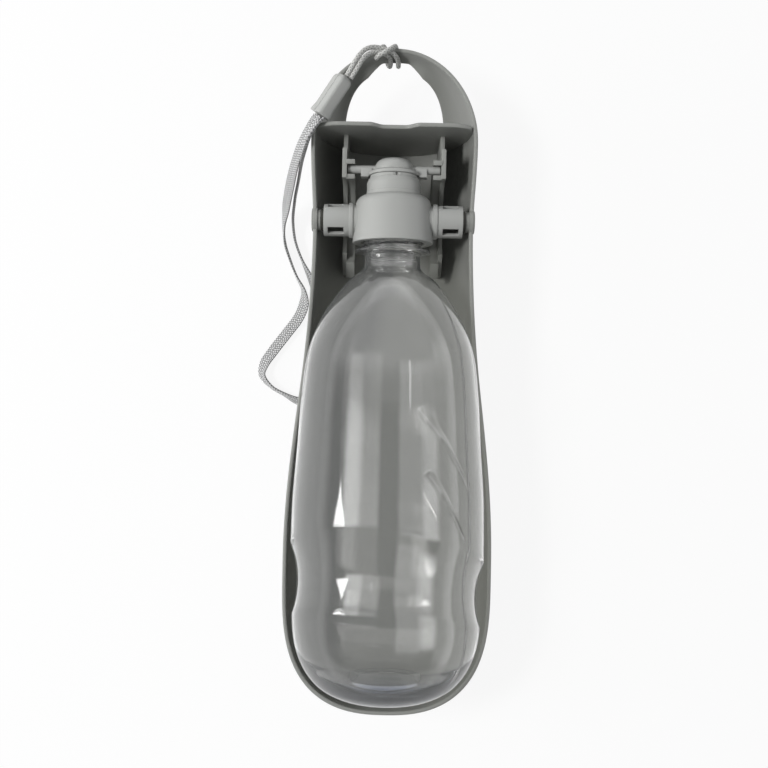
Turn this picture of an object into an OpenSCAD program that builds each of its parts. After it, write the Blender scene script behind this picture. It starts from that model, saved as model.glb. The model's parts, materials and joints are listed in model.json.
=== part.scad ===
// Folding travel water bottle for pets, lying on its flat back.
// X is the width, Y runs from the toe to the hand loop, Z is up from the resting face.

/* [Trough] */
// Distance from the pivot axis to the tip of the hand loop
handle_reach = 77.4; // [74:0.2:84]
// Height of the rim along the bottle
rim_height = 39; // [36:0.5:41]
// Rise of the rim at the pivots above the pivot axis
ear_rise = 3; // [2:0.5:5]
// Wall thickness of the moulding
wall = 1.8; // [1.4:0.1:2]
// Width across the waist beside the pivots
waist_width = 69.6; // [69:0.2:74]
// Width across the shoulder
shoulder_width = 72.6; // [71:0.2:76]
// Length of the rounded toe
toe_length = 59.9; // [54:0.1:64]
// Length of the belly ahead of the toe
belly_length = 7.4; // [4:0.1:14]
// Rise of the end wall above the rim at the pivots
end_wall_rise = 5; // [3:0.5:7]
// Width of the hand opening
opening_width = 47; // [43:0.5:50]
// Width of the hand loop at its tip
tip_width = 7.9; // [7:0.1:11]
// Depth of the strap notch in the tip of the loop
notch_depth = 2; // [0:0.2:3]
// Height of the rim at the tip of the loop
tip_height = 40; // [38:0.5:43]

/* [Pivot] */
// Diameter of the pivot pins
pin_d = 6; // [5:0.1:7]
// Diameter of the pin heads
pin_head_d = 10.4; // [9:0.2:13]
// Thickness of the pin heads
pin_head_t = 0.4; // [0.3:0.1:1]
// Diameter of the lugs on the side walls
lug_d = 15; // [13:0.2:16]
// Thickness of the washers
washer_t = 1.2; // [0.8:0.1:1.4]
// Diameter of the washers
washer_d = 9.6; // [9:0.2:12]
// Outer diameter of the hub sleeves
sleeve_d = 13.9; // [13:0.1:14.5]
// Wall thickness of the hub sleeves
sleeve_wall = 1.6; // [1.2:0.1:2]
// Width of the sleeve windows round the hub
window_w = 3.8; // [2.6:0.2:4.4]

/* [Collar] */
// Diameter of the collar at its lower rim
collar_rim_d = 35.2; // [34.6:0.1:36]
// Diameter of the collar below its shoulder
collar_top_d = 33; // [32:0.1:34]
// Length of the collar from its rim to its shoulder
collar_length = 20.65; // [20:0.05:21.2]
// Distance from the pivot axis up to the top of the collar
collar_top = 10.75; // [10.4:0.05:11.2]
// Diameter of the flange at the foot of each stub
flange_d = 15.2; // [14.6:0.1:16]
// Distance from the bottle axis to the face of each flange
flange_reach = 19.2; // [18.8:0.1:20]
// Diameter of the nozzle ring
nozzle_d = 23.7; // [23:0.1:24.4]
// Height of the nozzle ring
nozzle_h = 7.3; // [6.8:0.1:7.6]
// Diameter of the slotted bezel
bezel_d = 21; // [20:0.1:22]
// Height of the slotted bezel
bezel_h = 1.5; // [1:0.1:2.4]
// Number of slots round the bezel
bezel_slots = 4; // [3:1:8]

/* [Cap] */
// Diameter of the cap disc
disc_d = 22; // [20:0.1:23]
// Thickness of the cap disc
disc_t = 2.3; // [2:0.1:2.6]
// Distance between the outer ends of the blocks beside the disc
block_span = 28.8; // [27:0.2:30]
// Thickness of the blocks
block_t = 3.8; // [3.6:0.1:4]
// Diameter of the dome
dome_d = 17; // [15:0.1:18]
// Diameter of the arms that ride in the tracks
arm_d = 3.5; // [3:0.1:3.7]
// Lift of the cap over the whole swing
lift = 3.5; // [3:0.1:4]
// Swing of the bottle in degrees
swing = 125; // [110:1:128]

/* [Bottle] */
// Outer diameter of the bottle body at its widest
bottle_d = 84.4; // [80:0.2:84.6]
// Distance from the pivot axis to the base of the bottle
bottle_reach = 207.9; // [206:0.1:209]
// Wall thickness of the bottle
bottle_wall = 0.9; // [0.6:0.1:1.2]
// Diameter of the support ring
support_d = 33; // [32:0.1:34]
// Diameter over the screw thread
thread_d = 27.4; // [27:0.1:27.6]
// Distance from the support ring to the mouth
neck_length = 21; // [20.6:0.1:21.2]

/* [Strap] */
// Diameter of the round cord
cord_d = 1.9; // [1.6:0.1:2]
// Width of the woven webbing
webbing_w = 6; // [5:0.2:6.4]
// Thickness of the woven webbing
webbing_t = 1.2; // [0.8:0.1:1.4]
// Length of the strap connector
connector_l = 19.6; // [17:0.2:21]
// Width of the strap connector
connector_w = 6.6; // [6:0.2:7]
// Thickness of the strap connector
connector_h = 5.8; // [5:0.2:6.4]

/* [Fits] */
// Gap between the bottle and the trough at its widest
belly_gap = 2.3; // [1.6:0.1:4]
// Gap between the bottle and the trough's floor
floor_gap = 1; // [0.6:0.1:2]
// Gap between the bottle's base and the toe
base_gap = 7.6; // [5:0.1:12]
// Radial clearance of a pressed pin or spigot
press_gap = 0.02; // [0.01:0.01:0.05]
// Radial clearance of a turning or sliding fit
run_gap = 0.05; // [0.03:0.01:0.1]
// Side gap between washers and their neighbours
side_gap = 0.1; // [0.05:0.05:0.2]
// Clearance of the arms in their tracks
track_gap = 0.35; // [0.2:0.05:0.4]
// Clearance between thread crest and collar
thread_gap = 0.3; // [0.2:0.05:0.5]

/* [Hidden] */

$fn = 96;
trough_grey = "#8b8c89";
fitting_grey = "#a5a6a3";
seal_grey = "#3a3a3a";
strap_grey = "#b4b4b1";
clear_grey = "#c9d2d6";

// The trough is made round the bottle
belly_width = bottle_d + 2 * (belly_gap + wall);
toe_reach = bottle_reach + base_gap + wall;
toe_start = toe_reach - toe_length;
belly_start = toe_start - belly_length;

// Place of the pivot axis in the frame, and the heights that follow it
pivot_y = (toe_reach - handle_reach) / 2;
pivot_z = bottle_d / 2 + wall + floor_gap;
ear_height = pivot_z + ear_rise;
end_wall_height = ear_height + end_wall_rise;

// Section of the trough: a superellipse cut flat where it rests
section_power = 2.3;
flat_sink = 0.6;
grip_cols = 6;
floor_cols = 10;
cols = 2 * grip_cols + floor_cols;
body_rows = 22;
toe_rows = 18;
grip_rows = 26;

// Stations along the trough, measured from the pivot axis
belly_half = belly_width / 2;
waist_half = waist_width / 2;
shoulder_half = shoulder_width / 2;
waist_y = -5;
shoulder_y = 34;
toe_centre = -toe_start - 12.6;
rim_rise_start = -75;
rim_rise_end = -14;

// End wall: foot of its inner face, lean and thickness
end_wall_foot = 38.2;
end_wall_lean = 1.5;
opening_start = end_wall_foot + wall + 1;
opening_power = 2.6;
opening_half = opening_width / 2;
opening_length = handle_reach - tip_width - opening_start;
wall_edge_drop = 2.5;
wall_edge_z = ear_height - wall_edge_drop;
dip_half = 9.5;
dip_depth = 4;

function mix(a, b, t) = a + (b - a) * t;
function ease(t) = (1 - cos(180 * min(1, max(0, t)))) / 2;
function signed_power(v, p) = sign(v) * pow(abs(v), p);

function half_width(y) =
    y < -belly_start ? belly_half
    : y < waist_y ? mix(belly_half, waist_half, ease((y + belly_start) / (waist_y + belly_start)))
    : y < shoulder_y ? mix(waist_half, shoulder_half, ease((y - waist_y) / (shoulder_y - waist_y)))
    : shoulder_half * sqrt(1 - pow((y - shoulder_y) / (handle_reach - shoulder_y), 2));

// Top of the end wall: a flat middle and round shoulders down to its edges
wall_edge_half = half_width(end_wall_foot) - wall / 2 - 2.03;
wall_flat_half = wall_edge_half - 10.2;

function rim_z(y) =
    mix(rim_height, ear_height, ease((y - rim_rise_start) / (rim_rise_end - rim_rise_start)));

// Angles of the section's columns, with one on each side of the hand opening
opening_beta = acos(pow(opening_half / (half_width(opening_start) - wall), section_power / 2));
function column_angle(v) =
    v <= grip_cols ? opening_beta * v / grip_cols
    : v <= grip_cols + floor_cols
        ? mix(opening_beta, 180 - opening_beta, (v - grip_cols) / floor_cols)
        : 180 - opening_beta * (cols - v) / grip_cols;
function across(v) = signed_power(cos(column_angle(v)), 2 / section_power);
function drop(v) = pow(sin(column_angle(v)), 2 / section_power);

// Skin 0 is the outside, skin 1 the inside
function inset(skin) = skin * wall;
function section_z(rim, v, skin) = max(inset(skin), rim - (rim + flat_sink - inset(skin)) * drop(v));
function station(i) = mix(toe_centre, opening_start, i / body_rows);

// Half width of the outline between the belly and the centre of the toe fan
function toe_half(y, skin) =
    (belly_half - inset(skin))
    * pow(1 - pow(max(0, -toe_start - y) / (toe_reach - inset(skin) - toe_start), 3), 0.4);
function body_half(y, skin) = y < -toe_start ? toe_half(y, skin) : half_width(y) - inset(skin);

function body_point(i, v, skin) =
    let (y = station(i))
    [body_half(y, skin) * across(v), y, section_z(rim_z(y), v, skin)];

// Outline of the toe from the right side through the tip to the left side
function toe_start_angle(skin) =
    asin(pow((-toe_start - toe_centre) / (toe_reach - inset(skin) - toe_start), 1.5));
function toe_outline(j, skin) =
    let (start = toe_start_angle(skin),
         angle = mix(start, 180 - start, j / toe_rows),
         reach = toe_reach - inset(skin) - toe_start)
    [signed_power(cos(angle), 0.8) * (belly_half - inset(skin)),
     -toe_start - reach * pow(sin(angle), 2 / 3)];
function toe_point(j, v, skin) =
    let (rim = toe_outline(j, skin), share = across(v))
    [rim.x * share, mix(toe_centre, rim.y, share), section_z(rim_height, v, skin)];

// Hand loop: a gutter from the outline of the shoulder in to the edge of the opening
function loop_outline(k, skin) =
    let (reach = handle_reach - shoulder_y - inset(skin),
         start = asin((opening_start - shoulder_y) / reach),
         angle = mix(start, 180 - start, k / grip_rows))
    [(shoulder_half - inset(skin)) * cos(angle), shoulder_y + reach * sin(angle)];
function opening_edge(k, skin) =
    let (angle = 180 * k / grip_rows,
         share = half_width(opening_start) / (half_width(opening_start) - wall),
         grow = skin == 1 ? 1 : share,
         x = opening_half * signed_power(cos(angle), 2 / opening_power),
         notch = notch_depth * ease(1.6 - abs(x) / 6))
    [x * grow, opening_start + opening_length * grow * pow(sin(angle), 2 / opening_power) + notch];
function loop_point(k, v, skin) =
    let (outer = loop_outline(k, skin),
         edge = opening_edge(k, skin),
         tip = sin(180 * k / grip_rows),
         rim = mix(ear_height, tip_height, tip),
         depth = mix(ear_height + flat_sink - inset(skin), 11 - inset(skin), tip),
         share = (1 - across(v)) / (1 - across(grip_cols)))
    [mix(outer.x, edge.x, share), mix(outer.y, edge.y, share), rim - depth * drop(v)];

// Vertex numbers of one skin
body_count = (body_rows + 1) * (cols + 1);
toe_cols = cols / 2;
toe_count = (toe_rows - 1) * toe_cols;
loop_count = (grip_rows - 1) * (grip_cols + 1);
skin_count = body_count + toe_count + loop_count;
function body_id(i, v) = i * (cols + 1) + v;
function toe_id(j, v) =
    j == 0 || v == toe_cols ? body_id(0, v)
    : j == toe_rows ? body_id(0, cols - v)
    : body_count + (j - 1) * toe_cols + v;
function loop_id(k, v) =
    k == 0 ? body_id(body_rows, v)
    : k == grip_rows ? body_id(body_rows, cols - v)
    : body_count + toe_count + (k - 1) * (grip_cols + 1) + v;

function skin_points(skin) = concat(
    [for (i = [0 : body_rows]) for (v = [0 : cols]) body_point(i, v, skin)],
    [for (j = [1 : toe_rows - 1]) for (v = [0 : toe_cols - 1]) toe_point(j, v, skin)],
    [for (k = [1 : grip_rows - 1]) for (v = [0 : grip_cols]) loop_point(k, v, skin)]);

function quad(a, b, c, d) = [[a, b, c], [a, c, d]];
function skin_quads() = concat(
    [for (i = [0 : body_rows - 1]) for (v = [0 : cols - 1])
        [body_id(i, v), body_id(i, v + 1), body_id(i + 1, v + 1), body_id(i + 1, v)]],
    [for (j = [0 : toe_rows - 1]) for (v = [0 : toe_cols - 2])
        [toe_id(j + 1, v), toe_id(j + 1, v + 1), toe_id(j, v + 1), toe_id(j, v)]],
    [for (k = [0 : grip_rows - 1]) for (v = [0 : grip_cols - 1])
        [loop_id(k, v), loop_id(k, v + 1), loop_id(k + 1, v + 1), loop_id(k + 1, v)]]);
function toe_tips() = [for (j = [0 : toe_rows - 1])
    [toe_id(j + 1, toe_cols - 1), toe_id(0, toe_cols), toe_id(j, toe_cols - 1)]];

// Rim and opening edges join the two skins
function rim_ids() = concat(
    [for (i = [0 : body_rows]) body_id(i, 0)],
    [for (k = [1 : grip_rows - 1]) loop_id(k, 0)],
    [for (i = [body_rows : -1 : 0]) body_id(i, cols)],
    [for (j = [toe_rows - 1 : -1 : 1]) toe_id(j, 0)]);
function opening_ids() = concat(
    [for (k = [0 : grip_rows]) loop_id(k, grip_cols)],
    [for (v = [cols - grip_cols - 1 : -1 : grip_cols + 1]) body_id(body_rows, v)]);
function strip(ids, other, turned) = [for (n = [0 : len(ids) - 1])
    let (a = ids[n], b = ids[(n + 1) % len(ids)])
    each (turned ? quad(b, a, a + other, b + other) : quad(a, b, b + other, a + other))];
function raise(faces, count) = [for (f = faces) [for (n = f) n + count]];
function flip(faces) = [for (f = faces) [for (n = [len(f) - 1 : -1 : 0]) f[n]]];
function outer_faces() = concat(
    [for (q = skin_quads()) each quad(q[0], q[1], q[2], q[3])], toe_tips());

module shell() {
    polyhedron(
        points = concat(skin_points(0), skin_points(1)),
        faces = concat(
            outer_faces(),
            raise(flip(outer_faces()), skin_count),
            strip(rim_ids(), skin_count, true),
            strip(opening_ids(), skin_count, false)),
        convexity = 6);
}

// Height of the middle of the shell wall at a place across and along
function mid_wall_z(x, y) =
    let (half = half_width(y) - wall / 2)
    rim_z(y) - (rim_z(y) + flat_sink - wall / 2)
        * pow(1 - pow(x / half, section_power), 1 / section_power);

function wall_top_z(x) =
    abs(x) > wall_flat_half
        ? mix(end_wall_height, wall_edge_z, 1 - sqrt(1 - pow((abs(x) - wall_flat_half)
            / (wall_edge_half + 1 - wall_flat_half), 2)))
        : end_wall_height - dip_depth * ease((dip_half - abs(x)) / 4);

// End wall across the trough, its foot and sides inside the shell wall
module end_wall() {
    half = half_width(end_wall_foot) - wall / 2;
    side_steps = 14;
    top = [for (n = [0 : 30]) let (x = mix(-wall_edge_half, wall_edge_half, n / 30)) [x, wall_top_z(x)]];
    foot = [for (n = [0 : 2 * side_steps])
        let (angle = mix(4, 176, n / (2 * side_steps)))
        [half * signed_power(cos(angle), 2 / section_power),
         max(wall / 2, ear_height - (ear_height + flat_sink - wall / 2) * pow(sin(angle), 2 / section_power))]];
    translate([0, end_wall_foot, 0])
        rotate([90 - end_wall_lean, 0, 0])
            translate([0, 0, -wall])
                linear_extrude(height = wall)
                    polygon(concat(top, foot));
}

// Guide tracks: spiral channels for the cap's arms, open towards the bottle
nozzle_top = collar_top + nozzle_h;
bezel_top = nozzle_top + bezel_h;
disc_low = bezel_top + side_gap;
track_r = disc_low + arm_d / 2 + 1;
track_plate_in = 20.5;
track_plate_t = 2;
rib_reach = 17;
rib_start = -10;
rib_end = swing + 9;
rib_steps = 24;
rib_t = 2.1;
channel_half = arm_d / 2 + track_gap;
plate_r = track_r - channel_half - rib_t;
gusset_y = 33;
gusset_z = pivot_z + 4;
lift_rate = lift / swing;

function polar(r, a) = [r * cos(a), -r * sin(a)];
function spiral(offset, a) = polar(track_r + offset + lift_rate * a, a);
function arc_angle(n) = mix(rib_start, rib_end, n / rib_steps);
function rib_outline(near, far) = concat(
    [for (n = [0 : rib_steps]) spiral(near, arc_angle(n))],
    [for (n = [rib_steps : -1 : 0]) spiral(far, arc_angle(n))]);

module across_x(from, to) {
    translate([from, 0, 0])
        rotate([90, 0, 90])
            linear_extrude(height = to - from)
                children();
}

module guide_track() {
    rib_far = channel_half + rib_t;
    tail = spiral(rib_far, rib_end);
    foot_x = track_plate_in + track_plate_t / 2;
    wall_y = end_wall_foot + wall / 2;
    across_x(track_plate_in, track_plate_in + track_plate_t)
        polygon(concat(
            [for (n = [0 : rib_steps]) polar(plate_r, arc_angle(n))],
            [tail, [tail.x, mid_wall_z(foot_x, tail.x) - pivot_z]],
            [for (n = [0 : 4])
                let (y = mix(tail.x + 4, wall_y, n / 4)) [y, mid_wall_z(foot_x, y) - pivot_z]],
            [[wall_y + 1, end_wall_height - 2.5 - pivot_z], [gusset_y, gusset_z - pivot_z],
             [plate_r, gusset_z - pivot_z]]));
    across_x(rib_reach, track_plate_in + 0.5)
        polygon(rib_outline(-rib_far, -channel_half));
    across_x(rib_reach, track_plate_in + 0.5)
        polygon(rib_outline(channel_half, rib_far));
}

// Pivot stack from the lug inwards
lug_proud = 0.15;
lug_step = 1.55;
lug_out = half_width(0) + lug_proud;
lug_in = half_width(0) - wall - lug_step;
washer_out = lug_in - side_gap;
sleeve_end = washer_out - washer_t - side_gap;
pin_r = pin_d / 2;
pin_inner = flange_reach - 1.6;
spigot_l = 2.2;
sleeve_end_t = 1.4;
window_turns = [-62, 50];

module lug() {
    translate([lug_in, 0, 0])
        rotate([0, 90, 0])
            cylinder(d = lug_d, h = lug_out - lug_in);
}

module both_sides() {
    children();
    mirror([1, 0, 0]) children();
}

module at_pivot() {
    translate([0, pivot_y, pivot_z]) children();
}

module trough() {
    color(trough_grey)
        difference() {
            union() {
                translate([0, pivot_y, 0]) {
                    shell();
                    end_wall();
                }
                at_pivot() both_sides() {
                    guide_track();
                    lug();
                }
            }
            at_pivot() both_sides()
                translate([lug_in - 1, 0, 0])
                    rotate([0, 90, 0])
                        cylinder(r = pin_r + press_gap, h = lug_out - lug_in + 2);
        }
}

module pivot_pin() {
    translate([pin_inner, 0, 0])
        rotate([0, 90, 0]) {
            cylinder(r = pin_r, h = lug_out - pin_inner);
            translate([0, 0, lug_out - pin_inner])
                cylinder(d1 = pin_head_d, d2 = pin_head_d - 0.8, h = pin_head_t);
        }
}

module pivot_washer() {
    translate([washer_out - washer_t, 0, 0])
        rotate([0, 90, 0])
            difference() {
                cylinder(d = washer_d, h = washer_t);
                translate([0, 0, -1]) cylinder(r = pin_r + side_gap, h = washer_t + 2);
            }
}

module pivot_pin_left() { color(trough_grey) at_pivot() mirror([1, 0, 0]) pivot_pin(); }
module pivot_pin_right() { color(trough_grey) at_pivot() pivot_pin(); }
module pivot_washer_left() { color(seal_grey) at_pivot() mirror([1, 0, 0]) pivot_washer(); }
module pivot_washer_right() { color(seal_grey) at_pivot() pivot_washer(); }

// Hub sleeve: a tube over the collar's spigot with two windows and a bored end
module hub_sleeve() {
    cavity_r = sleeve_d / 2 - sleeve_wall;
    window_l = sleeve_end - sleeve_end_t - flange_reach - 2.6;
    difference() {
        translate([flange_reach, 0, 0])
            rotate([0, 90, 0])
                cylinder(d = sleeve_d, h = sleeve_end - flange_reach);
        translate([flange_reach - 1, 0, 0])
            rotate([0, 90, 0])
                cylinder(r = cavity_r, h = sleeve_end - sleeve_end_t - flange_reach + 1);
        translate([flange_reach, 0, 0])
            rotate([0, 90, 0])
                cylinder(r = pin_r + run_gap, h = sleeve_end);
        for (turn = window_turns)
            rotate([turn, 0, 0])
                translate([flange_reach + spigot_l, -window_w / 2, cavity_r - 1])
                    cube([window_l, window_w, sleeve_wall + 3]);
    }
}

module hub_sleeve_left() { color(fitting_grey) at_pivot() mirror([1, 0, 0]) hub_sleeve(); }
module hub_sleeve_right() { color(fitting_grey) at_pivot() hub_sleeve(); }

// Turns a profile of radius and distance along the bottle about the bottle's axis
module along_bottle() {
    rotate([-90, 0, 0]) rotate_extrude() children();
}

// Neck and collar share these places along the bottle
collar_rim_y = collar_top - collar_length;
support_t = 1.6;
neck_gap = 3;
support_top = collar_rim_y - neck_gap;
mouth_y = support_top - support_t + neck_length;
gasket_t = 1.5;
gasket_bore_r = 10.2;
ceiling_y = mouth_y + gasket_t + 2 * side_gap;
collar_bore_r = thread_d / 2 + thread_gap;
spout_hole_r = 9.6;
shoulder_r = 4.6;

function arc_points(cx, cy, r, from, to, steps) = [for (n = [0 : steps])
    let (a = mix(from, to, n / steps)) [cx + r * cos(a), cy + r * sin(a)]];

module collar() {
    color(fitting_grey) at_pivot()
        difference() {
            union() {
                along_bottle()
                    polygon(concat(
                        [[spout_hole_r, collar_top], [spout_hole_r, ceiling_y], [collar_bore_r, ceiling_y],
                         [collar_bore_r, collar_rim_y], [collar_rim_d / 2, collar_rim_y]],
                        arc_points(collar_top_d / 2 - shoulder_r, collar_top - shoulder_r, shoulder_r, 0, 90, 8)));
                both_sides()
                    translate([collar_bore_r + 0.2, 0, 0])
                        rotate([0, 90, 0]) {
                            cylinder(d = flange_d, h = flange_reach - collar_bore_r - 0.2);
                            cylinder(r = sleeve_d / 2 - sleeve_wall - press_gap,
                                     h = flange_reach + spigot_l - collar_bore_r - 0.2);
                        }
            }
            both_sides()
                translate([pin_inner - 0.4, 0, 0])
                    rotate([0, 90, 0])
                        cylinder(r = pin_r + run_gap, h = 8);
        }
}

module collar_gasket() {
    color(seal_grey) at_pivot() along_bottle()
        translate([gasket_bore_r, mouth_y + side_gap])
            square([collar_bore_r - side_gap - gasket_bore_r, gasket_t]);
}

// Spout stack on the collar: nozzle ring, seat with bezel and plug, seals
seat_tube_r = 8;
seat_bore_r = 6.4;
spout_r = 6.2;
spout_bore_r = 4.6;
spout_top = disc_low + 4.1;
plug_r = 1.8;
plug_top = disc_low + 7.1;
slot_w = 0.8;
slot_turn = 6;
ring_section = 1.6;
nozzle_chamfer = 0.7;

module nozzle_ring() {
    color(fitting_grey) at_pivot() along_bottle()
        polygon([[seat_tube_r + press_gap, ceiling_y + 0.6], [spout_hole_r - press_gap, ceiling_y + 0.6],
                 [spout_hole_r - press_gap, collar_top + press_gap], [nozzle_d / 2, collar_top + press_gap],
                 [nozzle_d / 2, nozzle_top - nozzle_chamfer],
                 [nozzle_d / 2 - nozzle_chamfer, nozzle_top], [seat_tube_r + press_gap, nozzle_top]]);
}

module valve_seat() {
    web_t = 1.2;
    web_low = ceiling_y + 0.6;
    color(fitting_grey) at_pivot()
        union() {
            difference() {
                along_bottle()
                    polygon([[seat_bore_r, web_low], [seat_tube_r, web_low],
                             [seat_tube_r, nozzle_top + press_gap], [bezel_d / 2, nozzle_top + press_gap],
                             [bezel_d / 2, bezel_top], [spout_r, bezel_top],
                             [spout_r, spout_top - ring_section - 0.8],
                             [spout_r - ring_section / 2, spout_top - ring_section - 0.8],
                             [spout_r - ring_section / 2, spout_top - 0.8], [spout_r, spout_top - 0.8],
                             [spout_r, spout_top], [spout_bore_r, spout_top],
                             [spout_bore_r, nozzle_top], [seat_bore_r, nozzle_top - 1.6]]);
                for (n = [0 : bezel_slots - 1])
                    rotate([0, slot_turn + n * 360 / bezel_slots, 0])
                        translate([bezel_d / 2 - 1.2, nozzle_top + 0.1, -slot_w / 2])
                            cube([2, bezel_top - nozzle_top, slot_w]);
            }
            rotate([-90, 0, 0])
                translate([0, 0, web_low])
                    cylinder(r = plug_r, h = plug_top - web_low);
            for (turn = [0, 120, 240])
                rotate([0, turn, 0])
                    translate([plug_r / 2, web_low, -web_t / 2])
                        cube([seat_bore_r + 0.5 - plug_r / 2, 2.4, web_t]);
        }
}

module seat_o_ring() {
    color(seal_grey) at_pivot() along_bottle()
        translate([spout_r + press_gap, spout_top - 0.8 - ring_section / 2])
            circle(d = ring_section - 0.08);
}

// The cap fits over the spout with a running gap outside the ring
cap_bore_r = spout_r + ring_section / 2 + run_gap;
cap_roof = disc_low + 4.85;
dome_low = disc_low + disc_t;
dome_top = disc_low + 7.4;
dome_power = 0.8;
outlet_r = 2.6;
block_low = disc_low - 0.75;
block_h = 5.2;
arm_reach = track_plate_in - 0.3;

module plug_seal() {
    color(seal_grey) at_pivot() along_bottle()
        translate([plug_r + press_gap, plug_top - 1.6])
            square([outlet_r - run_gap - plug_r - press_gap, 1.2]);
}

module valve_cap() {
    dome_steps = 10;
    block_in = bezel_d / 2 + 0.5;
    block_out = block_span / 2;
    arm_in = cap_bore_r + 0.4;
    color(fitting_grey) at_pivot()
        difference() {
            union() {
                along_bottle()
                    polygon(concat(
                        [[outlet_r, cap_roof], [cap_bore_r, cap_roof], [cap_bore_r, disc_low],
                         [disc_d / 2, disc_low], [disc_d / 2, mix(disc_low, dome_low, 0.7)],
                         [dome_d / 2 + 0.6, dome_low]],
                        [for (n = [0 : dome_steps]) let (a = 90 * n / dome_steps)
                            [mix(outlet_r, dome_d / 2, pow(cos(a), dome_power)),
                             mix(dome_low, dome_top, pow(sin(a), dome_power))]]));
                both_sides() {
                    translate([block_in - 1.5, disc_low, -block_h / 2])
                        cube([block_out - block_in + 1.5, block_low + block_t - disc_low, block_h]);
                    translate([block_in, block_low, -block_h / 2])
                        cube([block_out - block_in, block_t, block_h]);
                    translate([arm_in, track_r, 0])
                        rotate([0, 90, 0])
                            cylinder(d = arm_d, h = arm_reach - arm_in);
                }
            }
            rotate([-90, 0, 0])
                translate([0, 0, disc_low - 1])
                    cylinder(r = cap_bore_r, h = cap_roof - disc_low + 1);
        }
}

// Bottle profile as pairs of radius and distance, from neck to base
body_r = bottle_d / 2;
thread_depth = 1.3;
finish_step = 0.3;
neck_r = thread_d / 2 - thread_depth - finish_step;
finish_r = neck_r + finish_step;
bore_r = neck_r - 1.2;
base_r = 17;
foot_r = 2;
neck_foot = support_top - support_t - 2.6;
thread_ys = [mouth_y - 3.4, mouth_y - 6.6, mouth_y - 9.8, support_top + 1.6];

body_l = bottle_reach + neck_foot;

// Shoulder below the neck: share of the step from neck to body, and share of the body's length
function shoulder(share, down, inset) = [mix(neck_r, body_r, share) - inset, neck_foot - down * body_l];
// Flank that keeps its gap beside the trough's wall, and body stepped in from its widest radius
function from_base(up) = up * body_l - bottle_reach;
function flank(gap, up, inset) = [half_width(from_base(up)) - wall - gap - inset, from_base(up)];
function body(step, up, inset) = [body_r - step - inset, from_base(up)];

function bottle_outline(inset) = [
    [neck_r - inset, neck_foot], shoulder(0.017, 0.0204, inset), shoulder(0.216, 0.0466, inset),
    shoulder(0.442, 0.0907, inset), shoulder(0.635, 0.141, inset),
    flank(0.28, 0.7909, inset), flank(0.1, 0.6913, inset), flank(1.2, 0.5708, inset),
    body(0.5, 0.4607, inset), body(0, 0.3978, inset), body(0.3, 0.3297, inset), body(2.7, 0.2877, inset),
    body(3.1, 0.2406, inset), body(1.7, 0.2091, inset), body(1, 0.1777, inset), body(2, 0.1305, inset),
    body(5.4, 0.0849, inset), body(13, 0.0404, inset),
    [base_r + 6 - inset, 3.2 - bottle_reach + inset], [base_r + foot_r - inset, inset - bottle_reach],
    [base_r - foot_r, inset - bottle_reach], [base_r - 5, 3 - bottle_reach + inset], [0, 4.4 - bottle_reach + inset]];

// Neck from the mouth down to the support ring, with raised bands for the screw thread
function neck_outline() = concat(
    [[0, mouth_y], [finish_r, mouth_y]],
    [for (y = thread_ys) each [[finish_r, y + 1], [thread_d / 2, y + 0.4],
                               [thread_d / 2, y - 0.4], [finish_r, y - 1]]],
    [[finish_r, support_top], [support_d / 2 - 0.4, support_top], [support_d / 2, support_top - 0.6],
     [support_d / 2, support_top - support_t + 0.4], [neck_r + 0.8, support_top - support_t]]);

// The neck carries the first stations of the shoulder, and the body the rest
split = 2;
function stations(inset, from, to) = [for (n = [from : to]) bottle_outline(inset)[n]];
last_station = len(bottle_outline(0)) - 1;
split_y = bottle_outline(0)[split].y;
split_bore_r = bottle_outline(bottle_wall)[split].x;

module bottle_neck() {
    color(clear_grey) at_pivot() along_bottle()
        difference() {
            polygon(concat(neck_outline(), stations(0, 0, split), [[0, split_y]]));
            polygon(concat([[0, mouth_y + 1], [bore_r, mouth_y + 1], [bore_r, neck_foot]],
                stations(bottle_wall, 1, split), [[split_bore_r, split_y - 1], [0, split_y - 1]]));
        }
}

module bottle() {
    color(clear_grey) at_pivot() along_bottle()
        difference() {
            polygon(concat([[0, split_y]], stations(0, split, last_station)));
            polygon(concat([[0, split_y + 1], [split_bore_r, split_y + 1]],
                stations(bottle_wall, split, last_station)));
        }
}

// Strap: round cord hitched round the tip, then a flat loop lying on the table
// Points are measured from the pivot axis across and along, and from the table up
cord_route = [
    [-22.6, 61.8, 51.7], [-20.5, 65.1, 51.8], [-18.4, 68.4, 51], [-16, 71.6, 49.4], [-13, 74.3, 47.6],
    [-9.8, 75.7, 45.8], [-6.8, 75.8, 44.2], [-4, 75.3, 43.2], [-1.6, 74.2, 42.2], [0.2, 72.4, 39.8],
    [1, 70.6, 36], [1.2, 69.4, 32], [1.2, 70.2, 29], [1, 73.4, 28.2], [0.6, 76.8, 31], [0.2, 79.2, 35.6],
    [-0.4, 79.6, 39.8], [-1.2, 78.2, 43], [-2.8, 75.8, 45.4], [-5.2, 73.4, 46.2], [-7.6, 71.8, 45.4],
    [-8.6, 71.4, 43.2], [-8.4, 72.8, 41.6], [-7.4, 75.4, 41.8], [-6.4, 78, 41.6], [-5.4, 79.6, 38.6],
    [-4.8, 78.6, 34.2], [-4.2, 75.6, 30], [-3.6, 72.2, 28], [-2.8, 69.8, 29.2], [-2.4, 69.4, 32.4],
    [-2.4, 70.8, 36.4], [-2.8, 72.4, 39.8], [-4.4, 73.6, 42.4], [-6.8, 74, 44], [-9.6, 73.6, 45.6],
    [-12.6, 71.9, 47.8], [-15.2, 68.8, 50], [-17.2, 66.2, 51.4], [-18.8, 63.9, 51.8], [-20.9, 60.6, 51.7]];

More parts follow.
